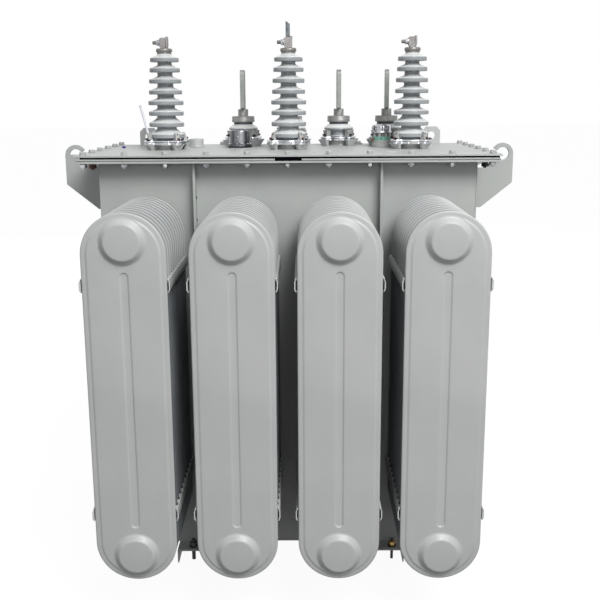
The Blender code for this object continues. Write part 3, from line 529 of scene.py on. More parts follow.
cover_low, cover_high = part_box("tank_cover")
rim_low, rim_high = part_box("tank_rim_front")
floor_low, floor_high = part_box("tank_floor")
wall_low, wall_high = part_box("tank_front_wall")
lug_low, lug_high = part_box("cover_lug_left")
COVER_X = cover_high.x
RIM_X = rim_high.x
RIM_Y = cover_high.y
TANK_X = floor_high.x
TANK_Y = floor_high.y
COVER_UNDER = cover_low.z
COVER_TOP = lug_low.z - 0.0003
RIM_UNDER = rim_low.z
STRIP_HEIGHT = 0.010
RIM_BODY = rim_high.z - STRIP_HEIGHT
LEG_TURN = radians(38)
hv_x = [middle_of(f"hv_bushing_{n}")[0] for n in (1, 2, 3)]
lv_x = [middle_of(f"lv_bushing_{n}")[0] for n in (1, 2, 3, 4)]
LV_Y = middle_of("lv_bushing_1")[1]
HV_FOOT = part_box("hv_bushing_1")[0].z
LV_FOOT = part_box("lv_bushing_1")[0].z
print("cover top", round(COVER_TOP, 4), "tall bushings at", [round(x, 3) for x in hv_x])
print("short bushings at", [round(x, 3) for x in lv_x], "in a row at", round(LV_Y, 3))

# %% [markdown]
# ## Camera
#
# The camera stands at the height of a person's eyes, four metres away, and looks a little down.
# Its place and lens were fitted once to measured corners of the photograph, with its small tilt,
# so the render can be laid over it.

# %% The camera of the photograph
CAMERA_PLACE = Vector((0.0627, -4.175, 2.059))
PITCH = radians(12.68)
YAW = radians(-0.225)
ROLL = radians(-0.308)
FOCAL_PIXELS = 905.27
PICTURE_PIXELS = 600
SENSOR = 36.0

looking = Vector((sin(YAW) * cos(PITCH), cos(YAW) * cos(PITCH), -sin(PITCH)))
rightward = looking.cross(Vector((0, 0, 1))).normalized()
upward = rightward.cross(looking)
tilted_right = rightward * cos(ROLL) + upward * sin(ROLL)
tilted_up = upward * cos(ROLL) - rightward * sin(ROLL)
camera_data = bpy.data.cameras.new("camera")
camera_data.sensor_width = SENSOR
camera_data.lens = FOCAL_PIXELS * SENSOR / PICTURE_PIXELS
camera_data.clip_end = 100
camera = bpy.data.objects.new("camera", camera_data)
bpy.context.scene.collection.objects.link(camera)
turn = Matrix((tilted_right, tilted_up, -looking)).transposed().to_4x4()
camera.matrix_world = Matrix.Translation(CAMERA_PLACE) @ turn
bpy.context.scene.camera = camera
print("lens", round(camera_data.lens, 1), "mm")

# %% [markdown]
# ## Light and floor
#
# The photograph is evenly lit from above and from the front right, like an overcast yard. A pale
# world, brighter behind the object, gives the even part. A high lamp at the front right gives the
# direction, a low wide one in front opens the shadows, and one at the back lights the far side
# without showing in reflections. What bright metal and glaze mirror is a sky of its own, darker
# overhead. The floor and the world show as white to the camera, and the floor keeps the object's
# own shadow.

# %% The world
WHITE = (1, 1, 1, 1)
scene = bpy.context.scene
scene.view_settings.view_transform = "Standard"
world = bpy.data.worlds.new("overcast")
scene.world = world
world.use_nodes = True
sky = world.node_tree
sky.nodes.clear()
rays = add_node(sky, "ShaderNodeLightPath")
ways = add_node(sky, "ShaderNodeTexCoord")
way = add_node(sky, "ShaderNodeSeparateXYZ", None, {"Vector": ways.outputs["Generated"]})
SKY_SHADES = (
    ("rise", "Z", 0.0, 0.9, 0.33, 0.46),
    ("back_glow", "Y", 0.1, 0.9, 1.0, 2.4),
    ("mirrored_rise", "Z", -0.1, 0.25, 0.5, 1.0),
    ("zenith_shade", "Z", 0.6, 0.85, 1.0, 0.5),
)
shades = {}
for shade, axis, start, end, low_tone, high_tone in SKY_SHADES:
    graded = add_node(sky, "ShaderNodeMapRange",
                      {"From Min": start, "From Max": end, "To Min": low_tone, "To Max": high_tone},
                      {"Value": way.outputs[axis]})
    shades[shade] = graded.outputs["Result"]
tone = add_node(sky, "ShaderNodeMath", {"operation": "MULTIPLY"},
                {0: shades["rise"], 1: shades["back_glow"]})
even = add_node(sky, "ShaderNodeBackground", {"Color": linear("#F2F4F6")},
                {"Strength": tone.outputs["Value"]})
mirrored_tone = add_node(sky, "ShaderNodeMath", {"operation": "MULTIPLY"},
                         {0: shades["mirrored_rise"], 1: shades["zenith_shade"]})
mirrored = add_node(sky, "ShaderNodeBackground", {"Color": WHITE},
                    {"Strength": mirrored_tone.outputs["Value"]})
white = add_node(sky, "ShaderNodeBackground", {"Color": WHITE, "Strength": 1.0})
by_gloss = add_node(sky, "ShaderNodeMath", {"operation": "MAXIMUM"},
                    {0: rays.outputs["Is Glossy Ray"], 1: rays.outputs["Is Transmission Ray"]})
around = add_node(sky, "ShaderNodeMixShader", None,
                  {0: by_gloss.outputs["Value"], 1: even.outputs["Background"],
                   2: mirrored.outputs["Background"]})
either = add_node(sky, "ShaderNodeMixShader", None,
                  {0: rays.outputs["Is Camera Ray"], 1: around.outputs["Shader"],
                   2: white.outputs["Background"]})
add_node(sky, "ShaderNodeOutputWorld", None, {"Surface": either.outputs["Shader"]})
print("sky with", len(sky.nodes), "nodes")

# %% [markdown]
# The lamps are plain white rectangles, far enough away to light the object softly. The camera
# doesn't see them.

# %% Lamps


def add_lamp(name, place, aim, size, watts):
    """A wide lamp at a place, turned to the point that it lights."""
    data = bpy.data.lights.new(name, "AREA")
    data.shape = "RECTANGLE"
    data.size, data.size_y = size
    data.energy = watts
    lamp = bpy.data.objects.new(name, data)
    lamp.location = place
    lamp.visible_camera = False
    lamp.rotation_euler = (Vector(aim) - Vector(place)).to_track_quat("-Z", "Y").to_euler()
    scene.collection.objects.link(lamp)
    return lamp


FRONT_MIDDLE, BACK_MIDDLE = (0.0, -0.6, 1.2), (0.0, 0.6, 1.2)
add_lamp("front_right", (2.7, -5.7, 6.9), FRONT_MIDDLE, (3.8, 3.8), 610)
add_lamp("low_fill", (0.3, -9.5, 2.8), FRONT_MIDDLE, (7.0, 4.0), 95)
back_fill = add_lamp("back_fill", (-1.5, 9.5, 2.2), BACK_MIDDLE, (7.0, 4.0), 300)
back_fill.visible_glossy = False
print("lamps placed")

# %% [markdown]
# The floor is a wide thin slab. It glows white to the camera and less in reflections, while its
# own dull surface takes the shadow.

# %% Floor
FLOOR_SIDE, FLOOR_FRONT, FLOOR_BACK, FLOOR_DEPTH = 40, -12, 60, -0.02
SEEN_GLOW, MIRRORED_GLOW = 0.95, 0.60
floor_shape = bmesh.new()
plate(floor_shape, [(-FLOOR_SIDE, FLOOR_FRONT), (FLOOR_SIDE, FLOOR_FRONT), (FLOOR_SIDE, FLOOR_BACK),
                    (-FLOOR_SIDE, FLOOR_BACK)], FLOOR_DEPTH, 0.0)
floor_mesh = bpy.data.meshes.new("floor")
bmesh.ops.recalc_face_normals(floor_shape, faces=floor_shape.faces)
floor_shape.to_mesh(floor_mesh)
floor_shape.free()
floor = bpy.data.objects.new("floor", floor_mesh)
scene.collection.objects.link(floor)
pale = bpy.data.materials.new("pale_floor")
pale.use_nodes = True
tree = pale.node_tree
tree.nodes.clear()
rays = add_node(tree, "ShaderNodeLightPath")
mirrored_glow = add_node(tree, "ShaderNodeMath", {"operation": "MULTIPLY", 1: MIRRORED_GLOW},
                         {0: rays.outputs["Is Glossy Ray"]})
glow_strength = add_node(tree, "ShaderNodeMath", {"operation": "MULTIPLY_ADD", 1: SEEN_GLOW},
                         {0: rays.outputs["Is Camera Ray"], 2: mirrored_glow.outputs["Value"]})
matt = add_node(tree, "ShaderNodeBsdfDiffuse", {"Color": linear("#4C4C4C")})
glow = add_node(tree, "ShaderNodeEmission", {"Color": WHITE},
                {"Strength": glow_strength.outputs["Value"]})
lifted = add_node(tree, "ShaderNodeAddShader", None,
                  {0: matt.outputs["BSDF"], 1: glow.outputs["Emission"]})
add_node(tree, "ShaderNodeOutputMaterial", None, {"Surface": lifted.outputs["Shader"]})
floor_mesh.materials.append(pale)
print("floor placed")

# %% [markdown]
# ## Plate radiators
#
# Each radiator is a stack of eleven panels on two header pipes. A panel is two pressed sheets
# seam-welded round their edge, so it has a thin border, a step, and a raised field that holds the
# oil. The outermost one is pressed with a round boss over each header and a long groove between.
# A sculpted height map could give that, but long-round loops are cleaner: each loop of the border,
# the step, the field and the groove is a pair of half circles joined by straights, and faces are
# strung between neighbouring loops. The bosses are turned and sit on the field.

# %% A pressed panel from long-round loops
front_low, front_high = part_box("radiator_front_1")
PANELS = 11
PANEL_PITCH = 0.0518
PANEL_WIDTH = 0.310
FIELD_AHEAD = 0.005
STAND_OFF = 0.100
PANEL_HEIGHT = front_high.z - front_low.z
PANEL_MIDDLE = (front_high.z + front_low.z) / 2
HALF_ROUND = PANEL_WIDTH / 2
HALF_STRAIGHT = PANEL_HEIGHT / 2 - HALF_ROUND
LAST_PANEL = -TANK_Y - STAND_OFF
FIRST_PANEL = LAST_PANEL - (PANELS - 1) * PANEL_PITCH
HEADER_END = 0.106
HEADERS = (front_low.z + HEADER_END, front_high.z - HEADER_END)
HALF_SPACING = (HEADERS[1] - HEADERS[0]) / 2
COMB_FROM_HEADER = 0.1626
COMB_OFFSET = HALF_SPACING - COMB_FROM_HEADER
HIGHLIGHT_SLOT, SHADE_SLOT, EDGE_SHADE_SLOT = 1, 2, 3
LIT_EDGE = 0.005
radiator_x = [middle_of(f"radiator_front_{n}")[0] for n in (1, 2, 3, 4)]
print("panel", PANEL_WIDTH, "x", round(PANEL_HEIGHT, 4), "headers at", [round(z, 3) for z in HEADERS])


def long_round(radius, half_straight, sides):
    """Two half circles joined by straights, with a point on each straight at the upper comb."""
    top = arc((0, half_straight), radius, 0, pi, sides)
    bottom = arc((0, -half_straight), radius, pi, tau, sides)
    if half_straight < COMB_OFFSET:
        return top + bottom
    return top + [(-radius, COMB_OFFSET)] + bottom + [(radius, COMB_OFFSET)]


def pressed_panel(shape, y, loops, sides, inner=False):
    """Strings faces between loops of (radius, half straight, distance in front of the seam).

    An inner panel takes painted shade below the upper comb, and a lighter painted shade behind its edge
    above it.
    """
    rings = []
    for radius, straight, ahead in loops:
        ring = [shape.verts.new((px, y - ahead, PANEL_MIDDLE + pz))
                for px, pz in long_round(radius, straight, sides)]
        rings.append(ring)
    for number, (first, second) in enumerate(zip(rings, rings[1:])):
        inset = HALF_ROUND - min(loops[number][0], loops[number + 1][0])
        for step in range(len(first)):
            after = (step + 1) % len(first)
            face = shape.faces.new((first[step], first[after], second[after], second[step]))
            middle = (first[step].co.z + first[after].co.z) / 2
            # Painted shade: the inner panels' faces below the upper comb take the dark copy.
            if inner and middle < PANEL_MIDDLE + COMB_OFFSET - 0.001:
                face.material_index = SHADE_SLOT
            # Painted shade: the strips behind the lit edge above the comb take the slightly darker
            # copy.
            elif inner and inset > LIT_EDGE:
                face.material_index = EDGE_SHADE_SLOT
    shape.faces.new(rings[0])
    shape.faces.new(rings[-1])


def border_loops(sign):
    """From the edge of the field to the edge of the sheet: a rounded step and the thin border."""
    steps = ((0.0180, 0.0050), (0.0172, 0.0049), (0.0160, 0.0044), (0.0140, 0.0032), (0.0125, 0.0025),
             (0.0112, 0.0021), (0.0100, 0.0020), (0.0030, 0.0020), (0.0012, 0.0016), (0.0, 0.0006))
    return [(HALF_ROUND - inset, HALF_STRAIGHT, sign * ahead) for inset, ahead in steps]


print("border", len(border_loops(1)), "loops")

# %% [markdown]
# The front panel's step is wider and softer than the others', and its groove is a flat-floored
# channel with rolled shoulders. The boss meets the field in a soft hollow and has a soft shoulder
# at its top. Those hollows and shoulders catch the light and carry the whole look of the pressing.

# %% The outermost panel and its bosses
GROOVE_HALF = 0.018
GROOVE_DEPTH = 0.0042
BOSS_RADIUS = 0.086
GROOVE_TO_BOSS = 0.024
GROOVE_END = HALF_SPACING - BOSS_RADIUS - GROOVE_TO_BOSS


def front_loops():
    """The front panel's loops, from the groove's floor out over the field and round the edge."""
    groove_straight = GROOVE_END - GROOVE_HALF
    shoulder = ((0.0105, 1.0), (0.0118, 0.96), (0.0132, 0.80), (0.0150, 0.45), (0.0166, 0.15),
                (0.0180, 0.03), (0.0196, 0.0))
    groove = [(radius, groove_straight, FIELD_AHEAD - GROOVE_DEPTH * share)
              for radius, share in shoulder]
    field = [(0.060, (groove_straight + HALF_STRAIGHT) / 2, FIELD_AHEAD)]
    step = ((0.0275, 0.0050), (0.0258, 0.0049), (0.0240, 0.0043), (0.0215, 0.0029), (0.0190, 0.0016),
            (0.0172, 0.0011), (0.0155, 0.0010), (0.0065, 0.0012), (0.0035, 0.0008), (0.0014, -0.0004),
            (0.0, -0.0022))
    border = [(HALF_ROUND - inset, HALF_STRAIGHT, ahead) for inset, ahead in step]
    back = [(HALF_ROUND - inset, HALF_STRAIGHT, ahead)
            for inset, ahead in ((0.0, -0.0048), (0.0200, -0.0049))]
    return groove + field + border + back


BOSS_PROFILE = [(0, 0.0190), (0.0605, 0.0190), (0.0640, 0.0187), (0.0668, 0.0176),
                (0.0692, 0.0157), (0.0800, 0.0052), (0.0824, 0.0030), (0.0850, 0.0013),
                (0.0885, 0.0002), (0.0915, -0.0003), (0.0915, -0.002)]


def add_boss(shape, y, z):
    """A round boss on the field, pointing away from the tank."""
    ahead = Matrix.Translation((0, y - FIELD_AHEAD, z)) @ Matrix.Rotation(pi / 2, 4, "X")
    turned(shape, BOSS_PROFILE, 64, ahead)


print("front panel", len(front_loops()), "loops, groove ends", round(GROOVE_END, 3), "from the middle")

# %% [markdown]
# Two combs on each side keep the panels apart. A comb is a strip folded to a channel: its web runs
# along the side of the stack in the radiator's grey. A thin strip of paler grey on its top edge is
# a painted highlight, and the teeth that reach in between the panels are in the same paler grey,
# also a painted highlight. Seen from the front, the end of the channel shows as a thin loop beside
# the panel, in the paler grey as a painted highlight. A small cap in the paler grey fills the
# outermost gap behind the front panel, painted light where the gap would be dark.

# %% Combs, headers and flanges
COMB_LEVELS = (HEADERS[0] + COMB_FROM_HEADER, HEADERS[1] - COMB_FROM_HEADER)
COMB_HALF = 0.024
COMB_REACH = 0.0102
COMB_SHEET = 0.0036
COMB_LIP = 0.003
TOOTH_HALF = 0.012
TOOTH_REACH = 0.016
LOOP_END = 0.0015
HIGHLIGHT_LINE = 0.0006
HEADER_RADIUS = 0.0375
STUB_END = 0.0453
FLANGE_RADIUS, FLANGE_THICKNESS = 0.070, 0.012
BOLT_CIRCLE, HEADER_NUT = 0.057, 0.0105


def comb_section(low, high):
    """The folded channel's outline, as (distance from the panel's middle, height) points."""
    lip, web = HALF_ROUND + COMB_LIP, HALF_ROUND + COMB_REACH
    across, down = 0.0054, 0.0100
    inner, inner_across, inner_down = web - COMB_SHEET, 0.0020, 0.0075
    return [(lip, low), (web - across, low), (web, low + down), (web, high - down),
            (web - across, high), (lip, high), (lip, high - COMB_SHEET),
            (inner - inner_across, high - COMB_SHEET), (inner, high - COMB_SHEET - inner_down),
            (inner, low + COMB_SHEET + inner_down), (inner - inner_across, low + COMB_SHEET),
            (lip, low + COMB_SHEET)]


def add_comb(shape, z, side):
    """A comb along one side of the stack: web, end loop, teeth and top line, the last three in painted
    highlight grey.
    """
    start, end = FIRST_PANEL + 0.0005, LAST_PANEL + 0.010
    low, high = z - COMB_HALF, z + COMB_HALF
    section = [(side * px, pz) for px, pz in comb_section(low, high)]
    plate(shape, section, start, end, UPRIGHT)
    # Painted highlight: the channel's end in the paler grey.
    plate(shape, section, start - LOOP_END, start - 0.0001, UPRIGHT, HIGHLIGHT_SLOT)
    inward, outward = HALF_ROUND - TOOTH_REACH, HALF_ROUND + COMB_LIP + 0.001
    near_x, far_x = sorted((side * inward, side * outward))
    # Painted highlight: the teeth in the paler grey.
    for gap in range(1, PANELS):
        middle = FIRST_PANEL + (gap - 0.5) * PANEL_PITCH
        for under in (low, high - COMB_SHEET):
            block(shape, (near_x, middle - TOOTH_HALF, under),
                  (far_x, middle + TOOTH_HALF, under + COMB_SHEET), None, HIGHLIGHT_SLOT)
    inner_x, outer_x = HALF_ROUND + COMB_LIP, HALF_ROUND + COMB_REACH - 0.0030
    near_x, far_x = sorted((side * inner_x, side * outer_x))
    # Painted highlight: a thin block of paler grey along the top edge.
    block(shape, (near_x, start, high), (far_x, end, high + HIGHLIGHT_LINE), None, HIGHLIGHT_SLOT)


def flange_spots(along):
    """The places of a header flange's four bolts, at one distance along the header."""
    angles = [tau * (step + 0.5) / 4 for step in range(4)]
    return [Matrix.Translation((BOLT_CIRCLE * cos(a), BOLT_CIRCLE * sin(a), along)) for a in angles]


def add_header(shape, z):
    """A header pipe with a collar at every panel and a bolted flange towards the tank."""
    lying = Matrix.Rotation(-pi / 2, 4, "X")
    back = Matrix.Translation((0, FIRST_PANEL, z)) @ lying
    length = -TANK_Y - STUB_END - FIRST_PANEL
    turned(shape, rod(HEADER_RADIUS, 0, length), 28, back)
    collar = [(HEADER_RADIUS, -0.012), (0.052, -0.0048), (0.052, 0.0048), (HEADER_RADIUS, 0.012)]
    for index in range(1, PANELS):
        turned(shape, collar, 28, Matrix.Translation((0, FIRST_PANEL + index * PANEL_PITCH, z)) @ lying)
    flange_back = length - FLANGE_THICKNESS
    turned(shape, [(HEADER_RADIUS, flange_back), (FLANGE_RADIUS, flange_back), (FLANGE_RADIUS, length),
                   (HEADER_RADIUS, length)], 32, back)
    for spot in flange_spots(flange_back - 0.010):
        turned(shape, rod(HEADER_NUT, 0, 0.010), 6, back @ spot)


print("combs at", [round(z, 3) for z in COMB_LEVELS])

# %% [markdown]
# All eight radiators are alike, so the mesh is made once and shared. Those at the back are turned
# half round, as a fitter would hang them. Only the row's two outer ends have caps on their combs.

# %% Hang the eight radiators
stack = bmesh.new()
pressed_panel(stack, FIRST_PANEL, front_loops(), 40)
for z in HEADERS:
    add_boss(stack, FIRST_PANEL, z)
inner_loops = border_loops(1) + border_loops(-1)[::-1]
for index in range(1, PANELS):
    pressed_panel(stack, FIRST_PANEL + index * PANEL_PITCH, inner_loops, 28, True)
for z in COMB_LEVELS:
    for side in (-1, 1):
        add_comb(stack, z, side)
for z in HEADERS:
    add_header(stack, z)
bmesh.ops.recalc_face_normals(stack, faces=stack.faces)
# The caps take the paler comb grey: painted light in the open ends of the outermost combs.
caps = bmesh.new()
CAP_HALF = COMB_HALF - 0.0040
last_edge = radiator_x[3] + HALF_ROUND
cap_near, cap_far = last_edge + 0.0032, last_edge + COMB_REACH - 0.0034
for row in (-1, 1):
    for side in (-1, 1):
        near_x, far_x = sorted((side * cap_near, side * cap_far))
        near_y, far_y = sorted((row * (-FIRST_PANEL - 0.0004), row * (-FIRST_PANEL - 0.0060)))
        for z in COMB_LEVELS:
            block(caps, (near_x, near_y, z - CAP_HALF), (far_x, far_y, z + CAP_HALF))
make_piece("comb_end_caps", caps, [comb_highlight_paint])
stack_mesh = bpy.data.meshes.new("radiator_stack")
stack.to_mesh(stack_mesh)
stack.free()
for finish in (radiator_paint, comb_highlight_paint, between_panels_shade_paint, edge_shade_paint):
    stack_mesh.materials.append(finish)
stack_mesh.shade_smooth()
stack_mesh.set_sharp_from_angle(angle=radians(38))
for row, half_turn in (("front", 0), ("back", pi)):
    for number, x in enumerate(radiator_x, 1):
        radiator = bpy.data.objects.new(f"radiator_stack_{row}_{number}", stack_mesh)
        scene.collection.objects.link(radiator)
        radiator.location.x = x
        radiator.rotation_euler.z = half_turn
        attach(radiator, "root")
        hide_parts(f"radiator_{row}_{number}")
print("radiators", len(stack_mesh.polygons), "faces each")

# %% [markdown]
# ## Tank
#
# The tank is welded from plate: a floor, two long walls with flat upright stiffeners, and two end
# walls. Short flanged stubs carry the radiators. Weld beads run up beside the stiffeners and
# round each stub.

# %% Tank shell
STIFFENER_HALF = 0.0054
STIFFENER_DEPTH = 0.050
WALL_SHEET = 0.008
STUB = [(0, 0), (0.046, 0), (0.046, 0.006), (0.0405, 0.0105), (HEADER_RADIUS, 0.012),
        (HEADER_RADIUS, 0.037), (FLANGE_RADIUS, 0.037), (FLANGE_RADIUS, 0.0488), (0, 0.0488)]
STUB_ROOT = TANK_Y - 0.004
stiffener_x = (radiator_x[3] + radiator_x[2]) / 2
shell = bmesh.new()
block(shell, floor_low, floor_high)
for node in ("tank_left_wall", "tank_right_wall"):
    block(shell, *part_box(node))
for side in (-1, 1):
    near, far = sorted((side * (TANK_Y - WALL_SHEET), side * TANK_Y))
    block(shell, (-TANK_X, near, wall_low.z), (TANK_X, far, wall_high.z))
    for x in (-stiffener_x, stiffener_x):
        near, far = sorted((side * (TANK_Y - 0.004), side * (TANK_Y + STIFFENER_DEPTH)))
        block(shell, (x - STIFFENER_HALF, near, wall_low.z), (x + STIFFENER_HALF, far, wall_high.z))
        for edge in (-STIFFENER_HALF - 0.001, STIFFENER_HALF + 0.001):
            bead(shell, (x + edge, side * (TANK_Y + 0.0005), wall_low.z + 0.004),
                 (x + edge, side * (TANK_Y + 0.0005), wall_high.z - 0.004), 0.0035)
    for x in radiator_x:
        for z in HEADERS:
            root = Matrix.Translation((x, side * STUB_ROOT, z))
            outward = root @ Matrix.Rotation(-side * pi / 2, 4, "X")
            turned(shell, STUB, 32, outward)
            for spot in flange_spots(0.029):
                turned(shell, rod(HEADER_NUT, 0, 0.0085), 6, outward @ spot)
for x in (-TANK_X, TANK_X):
    for y in (-TANK_Y, TANK_Y):
        bead(shell, (x, y, wall_low.z + 0.003), (x, y, wall_high.z - 0.003), 0.0022)
make_piece("tank_shell", shell, [tank_paint],
           ("tank_floor", "tank_left_wall", "tank_right_wall", "tank_front_wall", "tank_back_wall"),
           0.0015, 2)

# %% [markdown]
# ## Base channels
#
# Two rolled channels lie on their backs under the tank. Rolled steel has thick roots and rounded
# toes, so the outline is drawn with them rather than as a folded box. Anchor bolts stand in the
# webs near the ends, with black shanks. The left ones' nuts are olive, the right ones' yellow.

# %% Base channels and anchor bolts
base = bmesh.new()
base_low, base_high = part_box("base_channel_left")
half_width = (base_high.x - base_low.x) / 2
top = base_high.z
channel = [(-half_width, 0.0), (-half_width + 0.0045, 0.0), (-half_width + 0.0058, 0.003),
           (-half_width + 0.0075, top - 0.020), (-half_width + 0.0095, top - 0.0115),
           (-half_width + 0.015, top - 0.0085), (half_width - 0.015, top - 0.0085),
           (half_width - 0.0095, top - 0.0115), (half_width - 0.0075, top - 0.020),
           (half_width - 0.0058, 0.003), (half_width - 0.0045, 0.0), (half_width, 0.0),
           (half_width, top - 0.0025), (half_width - 0.0025, top), (-half_width + 0.0025, top),
           (-half_width, top - 0.0025)]
TOE_WELD = half_width * 0.97
channel_x = []
for node in ("base_channel_left", "base_channel_right"):
    low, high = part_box(node)
    middle = middle_of(node)[0]
    channel_x.append(middle)
    plate(base, channel, low.y, high.y, Matrix.Translation((middle, 0, 0)) @ UPRIGHT)
    for side in (-1, 1):
        bead(base, (middle + side * TOE_WELD, -TANK_Y, top - 0.001),
             (middle + side * TOE_WELD, TANK_Y, top - 0.001), 0.0022)
make_piece("base_channels", base, [tank_paint],
           ("base_channel_left", "base_channel_right"), 0.0006, 1, 50)

ANCHOR_Y = 0.402
ANCHOR_WASHER = 0.0035
LEFT_ANCHOR = (channel_x[0] - 0.011, 0.0085, 2)
RIGHT_ANCHOR = (channel_x[1] + 0.028, 0.0063, 0)
anchors = bmesh.new()
for x, shank, nut_finish in (LEFT_ANCHOR, RIGHT_ANCHOR):
    for y in (-ANCHOR_Y, ANCHOR_Y):
        stand = Matrix.Translation((x, y, top))
        turned(anchors, rod(0.019, 0, ANCHOR_WASHER), 28, stand, 1)
        turned(anchors, nut_profile(0.030, 0.020), 6,
               stand @ Matrix.Translation((0, 0, ANCHOR_WASHER)), nut_finish)
        turned(anchors, rod(shank, 0.002 - top, 0.036, 0.002, 0.0015), 20, stand, 1)
make_piece("anchor_bolts", anchors, [yellow_zinc, black_oxide, olive_passivated],
           (), 0.0006, 1, 30)

# %% [markdown]
# ## Rim, gasket and cover bolts
#
# The flange round the mouth is flat bar with a thin stop strip on its outer edge, which keeps the
# gasket from being crushed. The strip stops short in the middle of the front. At the front's left
# end two small blocks fill the gap under the cover, one grey and one primed, and black rubber
# shows in the gap at the right.

# %% Rim with its stop strip, and the gasket's finish
rim = bmesh.new()
inner_x, inner_y = TANK_X - WALL_SHEET, TANK_Y - WALL_SHEET
STRIP_WIDTH = 0.012
LIP_HEIGHT = 0.0063
CREVICE = 0.006
LEFT_SHORT = 0.001
RIGHT_LONG = 0.004
STRIP_BREAK = (-0.052, 0.058)
strip_top = rim_high.z


def ring_bars(outer_x, outer_y, hole_x, hole_y):
    """The low and high corners of four bars that make a rectangular ring."""
    left, right = LEFT_SHORT - outer_x, outer_x + RIGHT_LONG
    hole_left, hole_right = LEFT_SHORT - hole_x, hole_x + RIGHT_LONG
    return [((left, -outer_y), (right, -hole_y)), ((left, hole_y), (right, outer_y)),
            ((left, -hole_y), (hole_left, hole_y)), ((hole_right, -hole_y), (right, hole_y))]


def add_strip(shape, outer, inner, low, high):
    """A ring of strip between two distances from the rim's edge, open in the middle of the front."""
    bars = ring_bars(RIM_X - outer, RIM_Y - outer, RIM_X - inner, RIM_Y - inner)
    for index, (near, far) in enumerate(bars):
        if index == 0:
            block(shape, (*near, low), (STRIP_BREAK[0], far[1], high))
            block(shape, (STRIP_BREAK[1], near[1], low), (*far, high))
        else:
            block(shape, (*near, low), (*far, high))


for low, high in ring_bars(RIM_X, RIM_Y, inner_x, inner_y):
    block(rim, (*low, RIM_UNDER), (*high, RIM_BODY))
add_strip(rim, 0.0012, STRIP_WIDTH, strip_top - LIP_HEIGHT, strip_top)
add_strip(rim, CREVICE, STRIP_WIDTH - 0.0003, RIM_BODY - 0.0002, strip_top - LIP_HEIGHT + 0.0002)
filler_left = LEFT_SHORT - RIM_X
block(rim, (filler_left, 0.0015 - RIM_Y, strip_top - 0.0002),
      (filler_left + 0.017, STRIP_WIDTH - RIM_Y, COVER_UNDER - 0.0002))
block(rim, (filler_left - 0.0010, 0.0020 - RIM_Y, RIM_BODY),
      (filler_left + 0.0070, 0.0100 - RIM_Y, strip_top - LIP_HEIGHT), None, 1)
gasket_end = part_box("cover_gasket")[1].x
block(rim, (gasket_end - 0.002, 0.0030 - RIM_Y, strip_top - 0.0001),
      (gasket_end + 0.0135, RIM_Y - 0.0030, COVER_UNDER - 0.0001), None, 2)
make_piece("rim_flange", rim, [tank_paint, dusty_primer, nitrile],
           ("tank_rim_front", "tank_rim_back", "tank_rim_left", "tank_rim_right"), 0.0014, 2)
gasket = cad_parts["cover_gasket"]
gasket.data.materials.clear()
gasket.data.materials.append(nitrile)
print("gasket takes", nitrile.name)

# %% [markdown]
# The cover is bolted through all three layers, with a head and a washer above and a nut below. The
# nuts along the ends sit on longer sleeves, and each end's nuts are larger. One nut is rusted and
# one is black.

# %% Cover bolts above and below
BOLT_LEFT, BOLT_RIGHT = -0.843, 0.846
BOLT_Y = 0.410
FRONT_BOLTS = 11
SIDE_BOLT_Y = (-0.246, -0.082, 0.082, 0.246)
front_pitch = (BOLT_RIGHT - BOLT_LEFT) / (FRONT_BOLTS - 1)
bolt_places = [(BOLT_LEFT + front_pitch * step, side * BOLT_Y)
               for step in range(FRONT_BOLTS) for side in (-1, 1)]
HEAD_WASHER, FRONT_WASHER, SIDE_SLEEVE = 0.0028, 0.0026, 0.0170
BOLT_TURN = radians(17)
SIDE_PLACES = [(x, y) for y in SIDE_BOLT_Y for x in (BOLT_LEFT, BOLT_RIGHT)]
bolt_places += SIDE_PLACES
RUSTY_NUT = (BOLT_LEFT, SIDE_BOLT_Y[0])
BLACK_NUT = (BOLT_RIGHT, SIDE_BOLT_Y[0])
heads, nuts = bmesh.new(), bmesh.new()
for index, (x, y) in enumerate(bolt_places):
    spin = Matrix.Rotation(BOLT_TURN * index, 4, "Z")
    above = Matrix.Translation((x, y, COVER_TOP)) @ spin
    turned(heads, rod(0.0150, 0, HEAD_WASHER), 28, above)
    turned(heads, nut_profile(0.024, 0.0115), 6, above @ Matrix.Translation((0, 0, HEAD_WASHER)))
    finish = {RUSTY_NUT: 1, BLACK_NUT: 2}.get((x, y), 0)
    below = Matrix.Translation((x, y, RIM_UNDER)) @ spin @ Matrix.Rotation(pi, 4, "X")
    sleeve = SIDE_SLEEVE if (x, y) in SIDE_PLACES else FRONT_WASHER
    across, tall = (0.029, 0.0160) if x in (BOLT_LEFT, BOLT_RIGHT) else (0.025, 0.0130)
    turned(nuts, rod(0.0135, 0, sleeve), 28, below, finish)
    turned(nuts, nut_profile(across, tall), 6, below @ Matrix.Translation((0, 0, sleeve)), finish)
    turned(nuts, rod(0.0072, 0, sleeve + tall + 0.0050, 0.0015, 0.0012), 16, below, finish)
make_piece("cover_bolt_heads", heads, [cover_paint], (), 0.0007, 1, 30)
make_piece("rim_nuts", nuts, [bright_zinc, rusted_steel, black_oxide],
           (), 0.0007, 1, 30)

# %% [markdown]
# ## Cover
#
# The cover is one plate. A short turret is welded on under every bushing, and four bent legs stand
# round each turret and carry the ears of its clamp ring. A leg is a strip folded to a channel that
# leans outwards, so it is made as a web and two cheeks. Three small pads lie near the front edge.

# %% Cover plate with turrets and legs
HV_TURRET = HV_FOOT - COVER_TOP
LV_TURRET = LV_FOOT - COVER_TOP
HV_TURRET_RADIUS, LV_TURRET_RADIUS = 0.0545, 0.0536
LEG_SHEET = 0.005
LEG_DEPTH = 0.018
LEG_FOOT, LEG_TOP = 0.037, 0.051
LEG_FOOT_HALF, LEG_TOP_HALF = 0.0155, 0.030
PADS = ((-0.435, -0.315), (0.097, -0.320), (0.434, -0.315))


